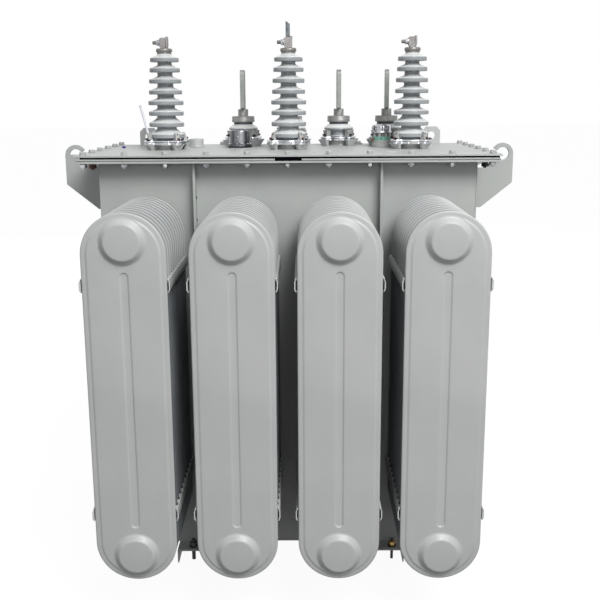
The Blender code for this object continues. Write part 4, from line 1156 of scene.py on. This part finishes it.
def add_leg(shape, angle, turret_radius, height):
    """A folded leg: a leaning web and two cheeks that run a little way towards the turret."""
    turn = Matrix.Rotation(angle, 4, "Z")
    ends = ((turret_radius + LEG_FOOT, LEG_FOOT_HALF, 0),
            (turret_radius + LEG_TOP, LEG_TOP_HALF, height))
    web = []
    for far, half, z in ends:
        web += level(far - LEG_SHEET, far, -half, half, z)
    solid(shape, web, turn)
    for side in (-1, 1):
        cheek = []
        for far, half, z in ends:
            near_y, far_y = sorted((side * (half - LEG_SHEET), side * (half - 0.0002)))
            cheek += level(far - LEG_DEPTH, far - 0.001, near_y, far_y, z)
        solid(shape, cheek, turn)


cover = bmesh.new()
block(cover, (-COVER_X, -RIM_Y, COVER_UNDER), (COVER_X, RIM_Y, COVER_TOP))
turrets = [((x, 0.0), HV_TURRET_RADIUS, HV_TURRET) for x in hv_x]
turrets += [((x, LV_Y), LV_TURRET_RADIUS, LV_TURRET) for x in lv_x]
for (x, y), radius, height in turrets:
    here = bmesh.new()
    turned(here, [(0, -0.004), (radius + 0.006, -0.004), (radius + 0.0055, 0.0006),
                  (radius + 0.0025, 0.0022), (radius + 0.0004, 0.0055), (radius, 0.008),
                  (radius, height - 0.0006), (0, height - 0.0006)], 56)
    for step in range(4):
        add_leg(here, LEG_TURN + step * pi / 2, radius, height - 0.001)
    bmesh.ops.translate(here, vec=(x, y, COVER_TOP), verts=here.verts)
    spare = bpy.data.meshes.new("turret")
    here.to_mesh(spare)
    here.free()
    cover.from_mesh(spare)
    bpy.data.meshes.remove(spare)
tap_low, tap_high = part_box("tap_changer_cap")
tap_x, tap_y = middle_of("tap_changer_cap")
tap_place = Matrix.Translation((tap_x, tap_y, COVER_TOP))
tap_seat = tap_low.z - COVER_TOP - 0.004
turned(cover, [(0, -0.003), (0.056, -0.003), (0.0545, 0.0010), (0.052, 0.0025),
               (0.052, tap_seat), (0, tap_seat)], 56, tap_place)
for x, y in PADS:
    block(cover, (x - 0.021, y - 0.005, COVER_TOP - 0.001), (x + 0.021, y + 0.005, COVER_TOP + 0.005))
make_piece("cover_plate", cover, [cover_paint], ("tank_cover",), 0.0012, 2, 40)

# %% [markdown]
# ## Lifting hooks and cover lugs
#
# Both are cut from thick plate by flame or plasma, so their outlines are smooth arcs. The hooks
# stand on the tank's ends. The left one's eye is half closed by a sill, and the right one has a
# notch that opens towards the tank. The lugs near the back lift the cover alone.

# %% Hooks and lugs
hooks = bmesh.new()
hook_low, hook_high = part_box("lifting_hook_right")
eye_radius, band = 0.0285, 0.019
outer_radius = eye_radius + band
centre = (hook_high.x - outer_radius, COVER_TOP - 0.025)
inboard = COVER_X + 0.006
under_rim, notch = RIM_UNDER - 0.0008, RIM_UNDER - 0.055
mouth, sill = radians(30), radians(8)
tip = pi - mouth
outline = [(hook_low.x, hook_low.z), (hook_high.x - 0.141, hook_low.z),
           (hook_high.x, hook_low.z + 0.114)]
outline += arc(centre, outer_radius, 0, tip, 30)
open_eye = arc(centre, eye_radius, tip, -tip, 36)
open_eye.append((inboard, centre[1] - eye_radius * sin(mouth)))
half_eye = arc(centre, eye_radius, tip, sill, 20)
half_eye.append((inboard, centre[1] + eye_radius * sin(sill)))
half_plate = (hook_high.y - hook_low.y) / 2
for side, eye_line, notch_end in ((-1, half_eye, TANK_X + 0.0605), (1, open_eye, TANK_X + 0.122)):
    root = [(inboard, under_rim), (notch_end, under_rim), (notch_end, notch + 0.010),
            (notch_end - 0.003, notch + 0.003), (notch_end - 0.010, notch), (hook_low.x, notch)]
    drawn_side = [(side * x, z) for x, z in outline + eye_line + root]
    plate(hooks, drawn_side, -half_plate, half_plate, UPRIGHT)
    for edge in (-half_plate, half_plate):
        bead(hooks, (side * (TANK_X + 0.001), edge, hook_low.z + 0.004),
             (side * (TANK_X + 0.001), edge, notch - 0.004), 0.0045)
make_piece("lifting_hooks", hooks, [tank_paint],
           ("lifting_hook_left", "lifting_hook_right"), 0.0014, 2)

lugs = bmesh.new()
width, height = lug_high.x - lug_low.x, lug_high.z - lug_low.z
LUG_CORNER = 0.018
EYE_HEIGHT = 0.042
EYE_RADIUS = 0.019
EDGE_STEPS = 8
outer_edge = [(width / 2, 0), (width / 2, height - LUG_CORNER), (width / 2 - LUG_CORNER, height),
              (LUG_CORNER - width / 2, height), (-width / 2, height - LUG_CORNER), (-width / 2, 0)]
edge_points = []
for first, second in zip(outer_edge, outer_edge[1:] + outer_edge[:1]):
    edge_points += [(first[0] + (second[0] - first[0]) * share / EDGE_STEPS,
                     first[1] + (second[1] - first[1]) * share / EDGE_STEPS)
                    for share in range(EDGE_STEPS)]
eye = []
for px, pz in edge_points:
    angle = atan2(pz - EYE_HEIGHT, px)
    eye.append((EYE_RADIUS * cos(angle), EYE_HEIGHT + EYE_RADIUS * sin(angle)))
for node in ("cover_lug_left", "cover_lug_right"):
    low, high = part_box(node)
    middle_x, middle_y = middle_of(node)
    half = (high.y - low.y) / 2
    stand = Matrix.Translation((middle_x, middle_y, low.z))
    plate(lugs, edge_points, -half, half, stand @ UPRIGHT, 0, eye)
    for side in (-1, 1):
        bead(lugs, (low.x + 0.003, middle_y + side * half, low.z + 0.001),
             (high.x - 0.003, middle_y + side * half, low.z + 0.001), 0.0035)
make_piece("cover_lugs", lugs, [cover_paint],
           ("cover_lug_left", "cover_lug_right"), 0.0012, 2, 40)

# %% [markdown]
# ## Tall bushings
#
# The porcelain is turned on a lathe and so is its model: each shed has a flat underside, a nearly
# upright rim with a rounded shoulder, and a shallow cone that sweeps up into the next neck. The
# two lowest cones are taller. The radii and levels were measured shed by shed, since the sheds
# grow towards the foot.

# %% Tall porcelain
hv_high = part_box("hv_bushing_1")[1].z
SHED_UNDERSIDES = [1.878, 1.928, 1.977, 2.0235, 2.070, 2.118, 2.166, 2.2105]
SHED_RADII = [0.0790, 0.0783, 0.0782, 0.0789, 0.0743, 0.0718, 0.0677, 0.0640]
NECK_RADII = [0.0432, 0.0440, 0.0415, 0.0395, 0.0370, 0.0355, 0.0335, 0.0315]
TOP_NECK = 0.0312
LOWER_ROUND, SHOULDER = 0.0040, 0.0055
SHOULDER_TURN = radians(66)
SHOULDER_LEVEL = 0.0146
FLAT_CONE = ((0.0115, 0.0270), (0.0062, 0.0289), (0.0028, 0.0311), (0.0006, 0.0340))
TALL_CONE = ((0.0230, 0.0248), (0.0140, 0.0300), (0.0070, 0.0350), (0.0028, 0.0390), (0.0006, 0.0420))
CONES = [TALL_CONE, TALL_CONE] + 6 * [FLAT_CONE]


def shed(under, radius, neck, next_neck, cone):
    """One shed from its underside to the foot of the next neck, as (radius, height) points."""
    points = [(neck, under - 0.0035), (neck + 0.0012, under - 0.0008), (neck + 0.0040, under)]
    points += arc((radius - LOWER_ROUND, under + LOWER_ROUND), LOWER_ROUND, -pi / 2, 0, 4)
    points += arc((radius - SHOULDER, under + SHOULDER_LEVEL), SHOULDER, 0, SHOULDER_TURN, 5)
    return points + [(next_neck + out, under + up) for out, up in cone]


tall = [(0, HV_FOOT), (0.0468, HV_FOOT), (0.0468, HV_FOOT + 0.0158), (0.0450, HV_FOOT + 0.0175)]
for measures in zip(SHED_UNDERSIDES, SHED_RADII, NECK_RADII, NECK_RADII[1:] + [TOP_NECK], CONES):
    tall += shed(*measures)
tall += [(TOP_NECK, hv_high), (0, hv_high)]
for number, x in enumerate(hv_x, 1):
    body = bmesh.new()
    turned(body, tall, 72, Matrix.Translation((x, 0, 0)))
    make_piece(f"tall_porcelain_{number}", body, [porcelain], (f"hv_bushing_{number}",))

# %% [markdown]
# ## Clamp rings
#
# A bright two-piece cast ring holds each porcelain's foot. It has four ears over the legs, with
# claws and bolts on them. The ring's outline is a circle with four soft lobes, written as a radius
# that swells near each ear. A thin black sheet lies in the joint between its two halves, as painted
# shade in that gap.

# %% Lobed rings, claws and bolts
EAR_HALF = 0.0295
UPPER_PLATE = 0.0085
LOWER_SETBACK = 0.0025
SKIRT = 0.0060
TAB_HALF = 0.0155
RING_STEPS = 96
BLACK_FINISH, RED_FINISH, CLAW_FINISH = 1, 2, 3
ROUNDED_EDGE = ((0.0016, 0.0), (0.0002, 0.0010), (0.0, 0.0022), (0.0006, 0.0040), (0.0022, 0.0058),
                (0.0044, 0.0072), (0.0072, 0.0081), (0.0100, UPPER_PLATE))


def remainder(angle):
    """The same angle, between minus half a turn and half a turn."""
    return (angle + pi) % tau - pi


def lobed(base_radius, ear_radius):
    """A circle that swells to an ear over each of the four legs."""
    spread = EAR_HALF / ear_radius
    points = []
    for step in range(RING_STEPS):
        angle = tau * step / RING_STEPS
        swell = sum(exp(-(remainder(angle - LEG_TURN - k * pi / 2) / spread) ** 4) for k in range(4))
        radius = base_radius + (ear_radius - base_radius) * swell
        points.append((radius * cos(angle), radius * sin(angle)))
    return points


def ring_of(radius):
    """A plain circle with as many points as a lobed one."""
    angles = [tau * step / RING_STEPS for step in range(RING_STEPS)]
    return [(radius * cos(angle), radius * sin(angle)) for angle in angles]


def add_ring(shape, centre_point, foot_radius, base_radius, ear_radius, height):
    """A lobed, well-rounded plate over a smaller round one, with a black sheet in the joint between
    them as painted shade.
    """
    place = Matrix.Translation(centre_point)
    joint = height - UPPER_PLATE
    loops = [(ring_of(foot_radius), joint)]
    loops += [(lobed(base_radius - inset, ear_radius - inset), joint + rise)
              for inset, rise in ROUNDED_EDGE]
    loops.append((ring_of(foot_radius), height))
    rows = [[shape.verts.new(place @ Vector((x, y, z))) for x, y in loop] for loop, z in loops]
    for first, second in zip(rows, rows[1:] + rows[:1]):
        for step in range(len(first)):
            after = (step + 1) % len(first)
            shape.faces.new((first[step], first[after], second[after], second[step]))
    for side in (-1, 1):
        near, far = sorted((side * (base_radius - 0.016), side * (base_radius + 0.0005)))
        block(shape, (-TAB_HALF, near, -SKIRT - 0.0004), (TAB_HALF, far, joint - 0.0030), place,
              CLAW_FINISH)
    plate(shape, lobed(base_radius - LOWER_SETBACK, ear_radius - LOWER_SETBACK),
          -SKIRT, joint - 0.0017, place, 0, ring_of(foot_radius + 0.010))
    # Painted shade: a thin black sheet set in the gap between the two halves.
    plate(shape, ring_of(base_radius - LOWER_SETBACK - 0.003), joint - 0.0020, joint + 0.0002,
          place, BLACK_FINISH, ring_of(foot_radius + 0.001))


print("ears are", round(2 * EAR_HALF, 3), "m wide, the first at", round(LEG_TURN, 2), "radians")

# %% [markdown]
# The tall bushings' claws lean on the lowest shed from outside, with a small dark pin near the
# top, and their bolts end in red primer. The short bushings' claws are lower and sit under the
# shed, with black bolts. Both are small castings, so they get large rounds.

# %% Claws of both kinds
SUNK = -0.0005


def add_radial_bolt(shape, place, start, end, radius, above, finish):
    """A bolt that lies flat and points away from the bushing."""
    lying = place @ Matrix.Translation((start, 0, above)) @ Matrix.Rotation(pi / 2, 4, "Y")
    turned(shape, rod(radius, 0, end - start, 0.001, 0.001), 16, lying, finish)


def claw_place(centre_point, angle, ring_top):
    """The top of the ring, turned so that X points away from the bushing over one ear."""
    turn = Matrix.Rotation(angle, 4, "Z")
    return Matrix.Translation(centre_point) @ turn @ Matrix.Translation((0, 0, ring_top))


def add_wide_claw(shape, place, inner, outer, rise):
    """A low claw under the shed, wider at its top, with a black bolt through its foot."""
    foot_half, top_half = 0.0115, 0.0145
    below = level(inner, outer - 0.004, -foot_half, foot_half, SUNK)
    above = level(inner + 0.004, outer, -top_half, top_half, rise)
    solid(shape, below + above, place, CLAW_FINISH)
    add_radial_bolt(shape, place, outer - 0.010, outer + 0.0125, 0.0050, 0.0062, BLACK_FINISH)


def add_narrow_claw(shape, place, inner, outer, rise):
    """A claw that leans on the lowest shed: a broad foot, a stem with a pin, a primed bolt."""
    foot_half, stem_half, top_half = 0.0130, 0.0095, 0.0080
    lean = 0.0075
    foot = level(inner - 0.006, outer, -foot_half, foot_half, SUNK)
    instep = level(inner - 0.003, outer - 0.005, -stem_half, stem_half, 0.0105)
    solid(shape, foot + instep, place, CLAW_FINISH)
    stem = level(inner - 0.001, inner + 0.011, -stem_half, stem_half, 0.009)
    head = level(inner - lean, inner + 0.010 - lean, -top_half, top_half, rise)
    solid(shape, stem + head, place, CLAW_FINISH)
    add_radial_bolt(shape, place, inner - 0.001, inner + 0.0085, 0.0026, rise - 0.008, BLACK_FINISH)
    add_radial_bolt(shape, place, outer - 0.008, outer + 0.0075, 0.0048, 0.0054, RED_FINISH)


def add_ear_bolt(shape, place, radius, aside):
    """A small black screw that holds the ring down on its leg."""
    spot = place @ Matrix.Translation((radius, aside, -0.0002))
    turned(shape, nut_profile(0.0125, 0.0065), 6, spot, BLACK_FINISH)


HV_RADII = (0.0478, 0.0885, 0.1155)
LV_RADII = (0.0476, 0.0803, 0.1020)
ring_finishes = [cast_aluminium, black_oxide, red_primer, claw_aluminium]
for kind, voltage, row, y, radii in (("tall", "hv", hv_x, 0, HV_RADII),
                                     ("short", "lv", lv_x, LV_Y, LV_RADII)):
    low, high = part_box(f"{voltage}_clamp_ring_1")
    height = high.z - low.z
    for number, x in enumerate(row, 1):
        ring = bmesh.new()
        centre_point = (x, y, low.z)
        add_ring(ring, centre_point, *radii, height)
        for step in range(4):
            place = claw_place(centre_point, LEG_TURN + step * pi / 2, height)
            if kind == "tall":
                add_narrow_claw(ring, place, 0.0850, 0.1010, 0.032)
                add_ear_bolt(ring, place, 0.1060, 0.0170)
            else:
                add_wide_claw(ring, place, 0.0600, 0.0860, 0.0285)
        make_piece(f"{kind}_clamp_ring_{number}", ring, ring_finishes,
                   (f"{voltage}_clamp_ring_{number}",), 0.0014, 2, 40)

# %% [markdown]
# ## Short bushings
#
# A short bushing has one wide shed with a rounded lip and a sloping top. Above it come a rubber
# seal, a tinned cap, a round nut and a thick flat bar that stands on edge, front to back.

# %% Short porcelain and terminals
lv_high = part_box("lv_bushing_1")[1].z
short_under = LV_FOOT + 0.0455
short = [(0, LV_FOOT), (0.0466, LV_FOOT), (0.0466, LV_FOOT + 0.0146), (0.0440, LV_FOOT + 0.0165),
         (0.0426, LV_FOOT + 0.020), (0.0426, short_under - 0.004), (0.0438, short_under - 0.001),
         (0.0475, short_under), (0.0660, short_under), (0.0690, short_under + 0.0008),
         (0.0703, short_under + 0.0030), (0.0705, short_under + 0.0052),
         (0.0696, short_under + 0.0082), (0.0660, short_under + 0.0118),
         (0.0600, short_under + 0.0165), (0.0530, short_under + 0.0218), (0.0490, lv_high - 0.0018),
         (0.0462, lv_high), (0, lv_high)]
SEAL_TOP = 0.0096
CAP_TOP = 0.0381
NUT_TOP = 0.0713
BAR_FOOT = 0.045
BAR_HALF_WIDTH = 0.050
BAR_CORNER = 0.022
SLOT_HALF = 0.0225
BAR_THICKNESS = 0.020
TURNED_BAR = {4: radians(-3.5)}
FRONT_TO_BACK = Matrix(((0, 0, 1, 0), (1, 0, 0, 0), (0, 1, 0, 0), (0, 0, 0, 1)))


def bar_outline(top_z):
    """The flat bar seen from its side: a foot inside the slotted nut, and two rounded corners."""
    shoulder = NUT_TOP + 0.0012
    bevel = 0.004
    line = [(SLOT_HALF, BAR_FOOT), (SLOT_HALF, shoulder), (BAR_HALF_WIDTH - bevel, shoulder),
            (BAR_HALF_WIDTH, shoulder + bevel)]
    line += arc((BAR_HALF_WIDTH - BAR_CORNER, top_z - BAR_CORNER), BAR_CORNER, 0, pi / 2, 10)
    return line + [(-y, z) for y, z in reversed(line)]


for number, x in enumerate(lv_x, 1):
    body = bmesh.new()
    turned(body, short, 72, Matrix.Translation((x, LV_Y, 0)))
    make_piece(f"short_porcelain_{number}", body, [porcelain], (f"lv_bushing_{number}",))
    terminal_low, terminal_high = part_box(f"lv_terminal_{number}")
    post = bmesh.new()
    stand = Matrix.Translation((x, LV_Y, terminal_low.z)) \
        @ Matrix.Rotation(TURNED_BAR.get(number, 0.0), 4, "Z")
    turned(post, [(0, 0), (0.0452, 0), (0.0458, 0.004), (0.0452, SEAL_TOP - 0.0002),
                  (0, SEAL_TOP - 0.0002)], 56, stand, 1)
    turned(post, [(0, SEAL_TOP), (0.0520, SEAL_TOP), (0.0540, SEAL_TOP + 0.0006),
                  (0.0546, SEAL_TOP + 0.0026), (0.0546, 0.0200), (0.0540, 0.0212), (0.0540, 0.0345),
                  (0.0532, 0.0368), (0.0512, CAP_TOP), (0, CAP_TOP)], 64, stand)
    turned(post, rod(0.0242, CAP_TOP - 0.001, NUT_TOP, 0.0023, 0.0010), 40, stand)
    plate(post, bar_outline(terminal_high.z - terminal_low.z), -BAR_THICKNESS / 2,
          BAR_THICKNESS / 2, stand @ FRONT_TO_BACK, 2)
    make_piece(f"short_terminal_{number}", post, [turned_tin, seal_rubber, tinned_copper],
               (f"lv_terminal_{number}",), 0.0016, 2, 40)

# %% [markdown]
# ## Tall terminals
#
# A turned cap closes the porcelain, and a cast clamp of two jaws stands on it. A bolt with a nut
# and a washer pulls the jaws together and points to the left. The middle clamp holds a dark flat
# bar, sawn off at a slant.

# %% Clamps on the tall bushings
JAW_LOW, JAW_HIGH = 0.0215, 0.0680
WASHER_RADIUS, WASHER = 0.0165, 0.003
CLAMP_NUT, CLAMP_NUT_HEIGHT = 0.024, 0.013
CLAMP_SHANK, SHANK_END = 0.0078, 0.0500
for number, x in enumerate(hv_x, 1):
    node_low, node_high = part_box(f"hv_terminal_{number}")
    top_part = bmesh.new()
    stand = Matrix.Translation((x, 0, node_low.z))
    turned(top_part, [(0, 0), (0.0318, 0), (0.0322, 0.0058), (0.0345, 0.0068), (0.0360, 0.0090),
                      (0.0362, 0.0135), (0.0356, 0.0185), (0.0335, 0.0212), (0.0300, 0.0220),
                      (0.0180, 0.0224), (0.0165, 0.0250), (0, 0.0250)], 48, stand, 3)
    low, high = JAW_LOW, JAW_HIGH
    jaw = [(-0.0185, low + 0.012), (-0.0150, low + 0.004), (-0.0100, low), (0.0070, low),
           (0.0080, low + 0.006), (0.0080, high), (-0.0140, high), (-0.0185, high - 0.006)]
    plate(top_part, jaw, -0.017, 0.017, stand @ UPRIGHT)
    keeper = [(0.0092, low + 0.002), (0.0150, low + 0.004), (0.0183, low + 0.010),
              (0.0185, high + 0.0045), (0.0092, high + 0.005)]
    plate(top_part, keeper, -0.0165, 0.0165, stand @ UPRIGHT)
    axis = stand @ Matrix.Translation((0, 0, low + 0.0255)) @ Matrix.Rotation(-pi / 2, 4, "Y")
    near = 0.0180
    turned(top_part, rod(WASHER_RADIUS, near, near + WASHER), 28, axis, 1)
    turned(top_part, nut_profile(CLAMP_NUT, CLAMP_NUT_HEIGHT), 6,
           axis @ Matrix.Translation((0, 0, near + WASHER)) @ Matrix.Rotation(pi / 6, 4, "Z"), 1)
    turned(top_part, rod(CLAMP_SHANK, near, SHANK_END, 0.0015, 0.0015), 18, axis, 4)
    if number == 2:
        left, right = -0.0112, 0.0078
        bar = [(left, high - 0.030), (right, high - 0.030),
               (right, node_high.z - node_low.z - 0.0125), (left, node_high.z - node_low.z)]
        plate(top_part, bar, -0.005, 0.005, stand @ UPRIGHT, 2)
    make_piece(f"tall_terminal_{number}", top_part,
               [tinned_brass, bright_zinc, dark_copper, dark_brass, thread_steel],
               (f"hv_terminal_{number}",), 0.0014, 2, 38)

# %% [markdown]
# ## Tap changer cap and relief valve
#
# The tap changer is worked from under a spun metal cap with a flange and a black seal. The relief
# valve is a low casting with a teal band and a pale head held by dark clips. Both are turned
# shapes with small parts set round them.

# %% Fittings on the cover
tap = bmesh.new()
stand = Matrix.Translation((tap_x, tap_y, tap_low.z))
tap_height = tap_high.z - tap_low.z
turned(tap, [(0, -0.0040), (0.0552, -0.0040), (0.0556, -0.0005), (0, -0.0005)], 56, stand, 1)
turned(tap, [(0, 0), (0.0548, 0), (0.0556, 0.0012), (0.0556, 0.0098), (0.0546, 0.0112),
             (0.0500, 0.0122), (0.0474, 0.0142), (0.0463, 0.0180), (0.0463, tap_height - 0.006),
             (0.0448, tap_height - 0.0018), (0.0415, tap_height), (0.0150, tap_height),
             (0, tap_height)], 64, stand)
face = Matrix.Translation((tap_x - 0.006, tap_y - 0.0460, tap_low.z + 0.045)) \
    @ Matrix.Rotation(pi / 2, 4, "X")
turned(tap, [(0, 0), (0.0042, 0), (0.0042, 0.0025), (0.0030, 0.0036), (0, 0.0036)], 20, face, 2)
for step in range(6):
    angle = tau * (step + 0.3) / 6
    spot = stand @ Matrix.Translation((0.0508 * cos(angle), 0.0508 * sin(angle), 0.0105))
    turned(tap, nut_profile(0.0070, 0.0040), 6, spot, 2)
make_piece("tap_changer_hood", tap, [spun_aluminium, nitrile, bright_zinc],
           ("tap_changer_cap",), 0.0006, 1, 30)

relief_low, relief_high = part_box("pressure_relief_valve")
RELIEF_FLANGE, RELIEF_BASE = 0.016, 0.032
RELIEF_BAND = 0.048
RELIEF_NECK = 0.0655
RELIEF_LIP = 0.0735
RELIEF_TOP = relief_high.z - relief_low.z
CLIPS = (-92, -50, -10, 35, 80, 125, 170, 215)
BAND_SCREWS = (-98, 22, 142)
valve = bmesh.new()
stand = Matrix.Translation((*middle_of("pressure_relief_valve"), relief_low.z))
turned(valve, [(0, 0), (0.0452, 0), (0.0460, 0.0010), (0.0460, RELIEF_FLANGE - 0.0015),
               (0.0450, RELIEF_FLANGE), (0.0425, RELIEF_FLANGE + 0.0008),
               (0.0425, RELIEF_BASE - 0.0010), (0.0415, RELIEF_BASE), (0, RELIEF_BASE)], 56, stand, 0)
turned(valve, [(0, RELIEF_BASE - 0.001), (0.0405, RELIEF_BASE - 0.001), (0.0410, RELIEF_BASE + 0.0008),
               (0.0410, RELIEF_BAND - 0.0008), (0.0404, RELIEF_BAND), (0, RELIEF_BAND)], 56, stand, 1)
turned(valve, rod(0.0345, RELIEF_BAND - 0.001, RELIEF_NECK + 0.001), 56, stand, 2)
turned(valve, [(0, RELIEF_NECK), (0.0447, RELIEF_NECK), (0.0455, RELIEF_NECK + 0.0012),
               (0.0455, RELIEF_LIP - 0.0010), (0.0445, RELIEF_LIP), (0, RELIEF_LIP)], 56, stand, 3)
turned(valve, [(0, RELIEF_LIP - 0.001), (0.0436, RELIEF_LIP - 0.001), (0.0440, RELIEF_LIP + 0.0010),
               (0.0440, RELIEF_TOP - 0.0060), (0.0415, RELIEF_TOP - 0.0022), (0.0340, RELIEF_TOP),
               (0, RELIEF_TOP)], 56, stand, 3)
for degrees in CLIPS:
    turn = stand @ Matrix.Rotation(radians(degrees), 4, "Z")
    block(valve, (0.0425, -0.0024, RELIEF_LIP + 0.0005), (0.0447, 0.0024, RELIEF_TOP - 0.0035),
          turn, 4)
band_face = Matrix.Translation((0.0402, 0, (RELIEF_BASE + RELIEF_BAND) / 2))
for degrees in BAND_SCREWS:
    turn = stand @ Matrix.Rotation(radians(degrees), 4, "Z")
    turned(valve, rod(0.0032, 0, 0.0019), 16, turn @ band_face @ Matrix.Rotation(pi / 2, 4, "Y"), 4)
for step in range(8):
    turn = stand @ Matrix.Rotation(radians(205) + step * pi / 4, 4, "Z")
    block(valve, (0.0340, -0.0042, RELIEF_BAND - 0.0005), (0.0415, 0.0042, RELIEF_NECK + 0.0005),
          turn, 5)
side_lug = stand @ Matrix.Rotation(radians(196), 4, "Z") @ Matrix.Translation((0.0440, 0, 0.0260))
turned(valve, nut_profile(0.0130, 0.0160), 6, side_lug, 6)
make_piece("relief_valve", valve,
           [valve_grey, teal_enamel, dark_housing, cast_aluminium, black_oxide, claw_aluminium,
            rusted_steel], ("pressure_relief_valve",), 0.0006, 1, 32)

filler_low, filler_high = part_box("filler_neck")
FILLER_TOP = filler_high.z - filler_low.z
filler = bmesh.new()
stand = Matrix.Translation((*middle_of("filler_neck"), filler_low.z))
turned(filler, [(0, 0), (0.0375, 0), (0.0372, 0.0030), (0.0350, 0.0060), (0.0340, 0.0100),
                (0.0340, FILLER_TOP - 0.0030), (0.0334, FILLER_TOP - 0.0010), (0.0318, FILLER_TOP),
                (0, FILLER_TOP)], 48, stand)
make_piece("oil_filler_cap", filler, [cover_paint], ("filler_neck",), 0.0005, 1, 32)

# %% [markdown]
# ## Small parts
#
# A few small things finish the cover and the front wall: a thin white rod that leans out of the
# left clamp, a blue plug, a low flange at the back, and two plugs on the side of the left
# stiffener.

# %% Rod, plug and studs
ROD_FOOT, ROD_TOP = Vector((-0.6190, -0.0800, 1.8740)), Vector((-0.6560, -0.0800, 2.0240))
ROD_RADIUS = 0.0052
small = bmesh.new()
drawn(small, [ROD_FOOT.lerp(ROD_TOP, step / 6) for step in range(7)], ROD_RADIUS, 14, 0)
drawn(small, [ROD_FOOT, ROD_FOOT.lerp(ROD_TOP, 0.19)], 0.0078, 14, 1)
make_piece("nylon_rod", small, [white_nylon, valve_grey])
studs = bmesh.new()
turned(studs, [(0, 0), (0.0085, 0), (0.0085, 0.0060), (0.0070, 0.0085), (0, 0.0090)], 20,
       Matrix.Translation((-0.7772, 0.128, COVER_TOP)), 0)
turned(studs, [(0, 0), (0.0230, 0), (0.0230, 0.0060), (0.0150, 0.0070), (0.0150, 0.0110),
               (0, 0.0115)], 32, Matrix.Translation((0.335, 0.370, COVER_TOP)), 1)
PLUG_LEVELS = (1.647, 1.554)
PLUG = [(0, 0), (0.0062, 0), (0.0062, 0.0016), (0.0042, 0.0030), (0, 0.0030)]
for z in PLUG_LEVELS:
    flank = Matrix.Translation((STIFFENER_HALF - stiffener_x, -TANK_Y - STIFFENER_DEPTH / 2, z))
    turned(studs, PLUG, 18, flank @ Matrix.Rotation(pi / 2, 4, "Y"), 2)
make_piece("small_studs", studs, [blue_plastic, valve_grey, black_oxide],
           (), 0.0004, 1, 32)
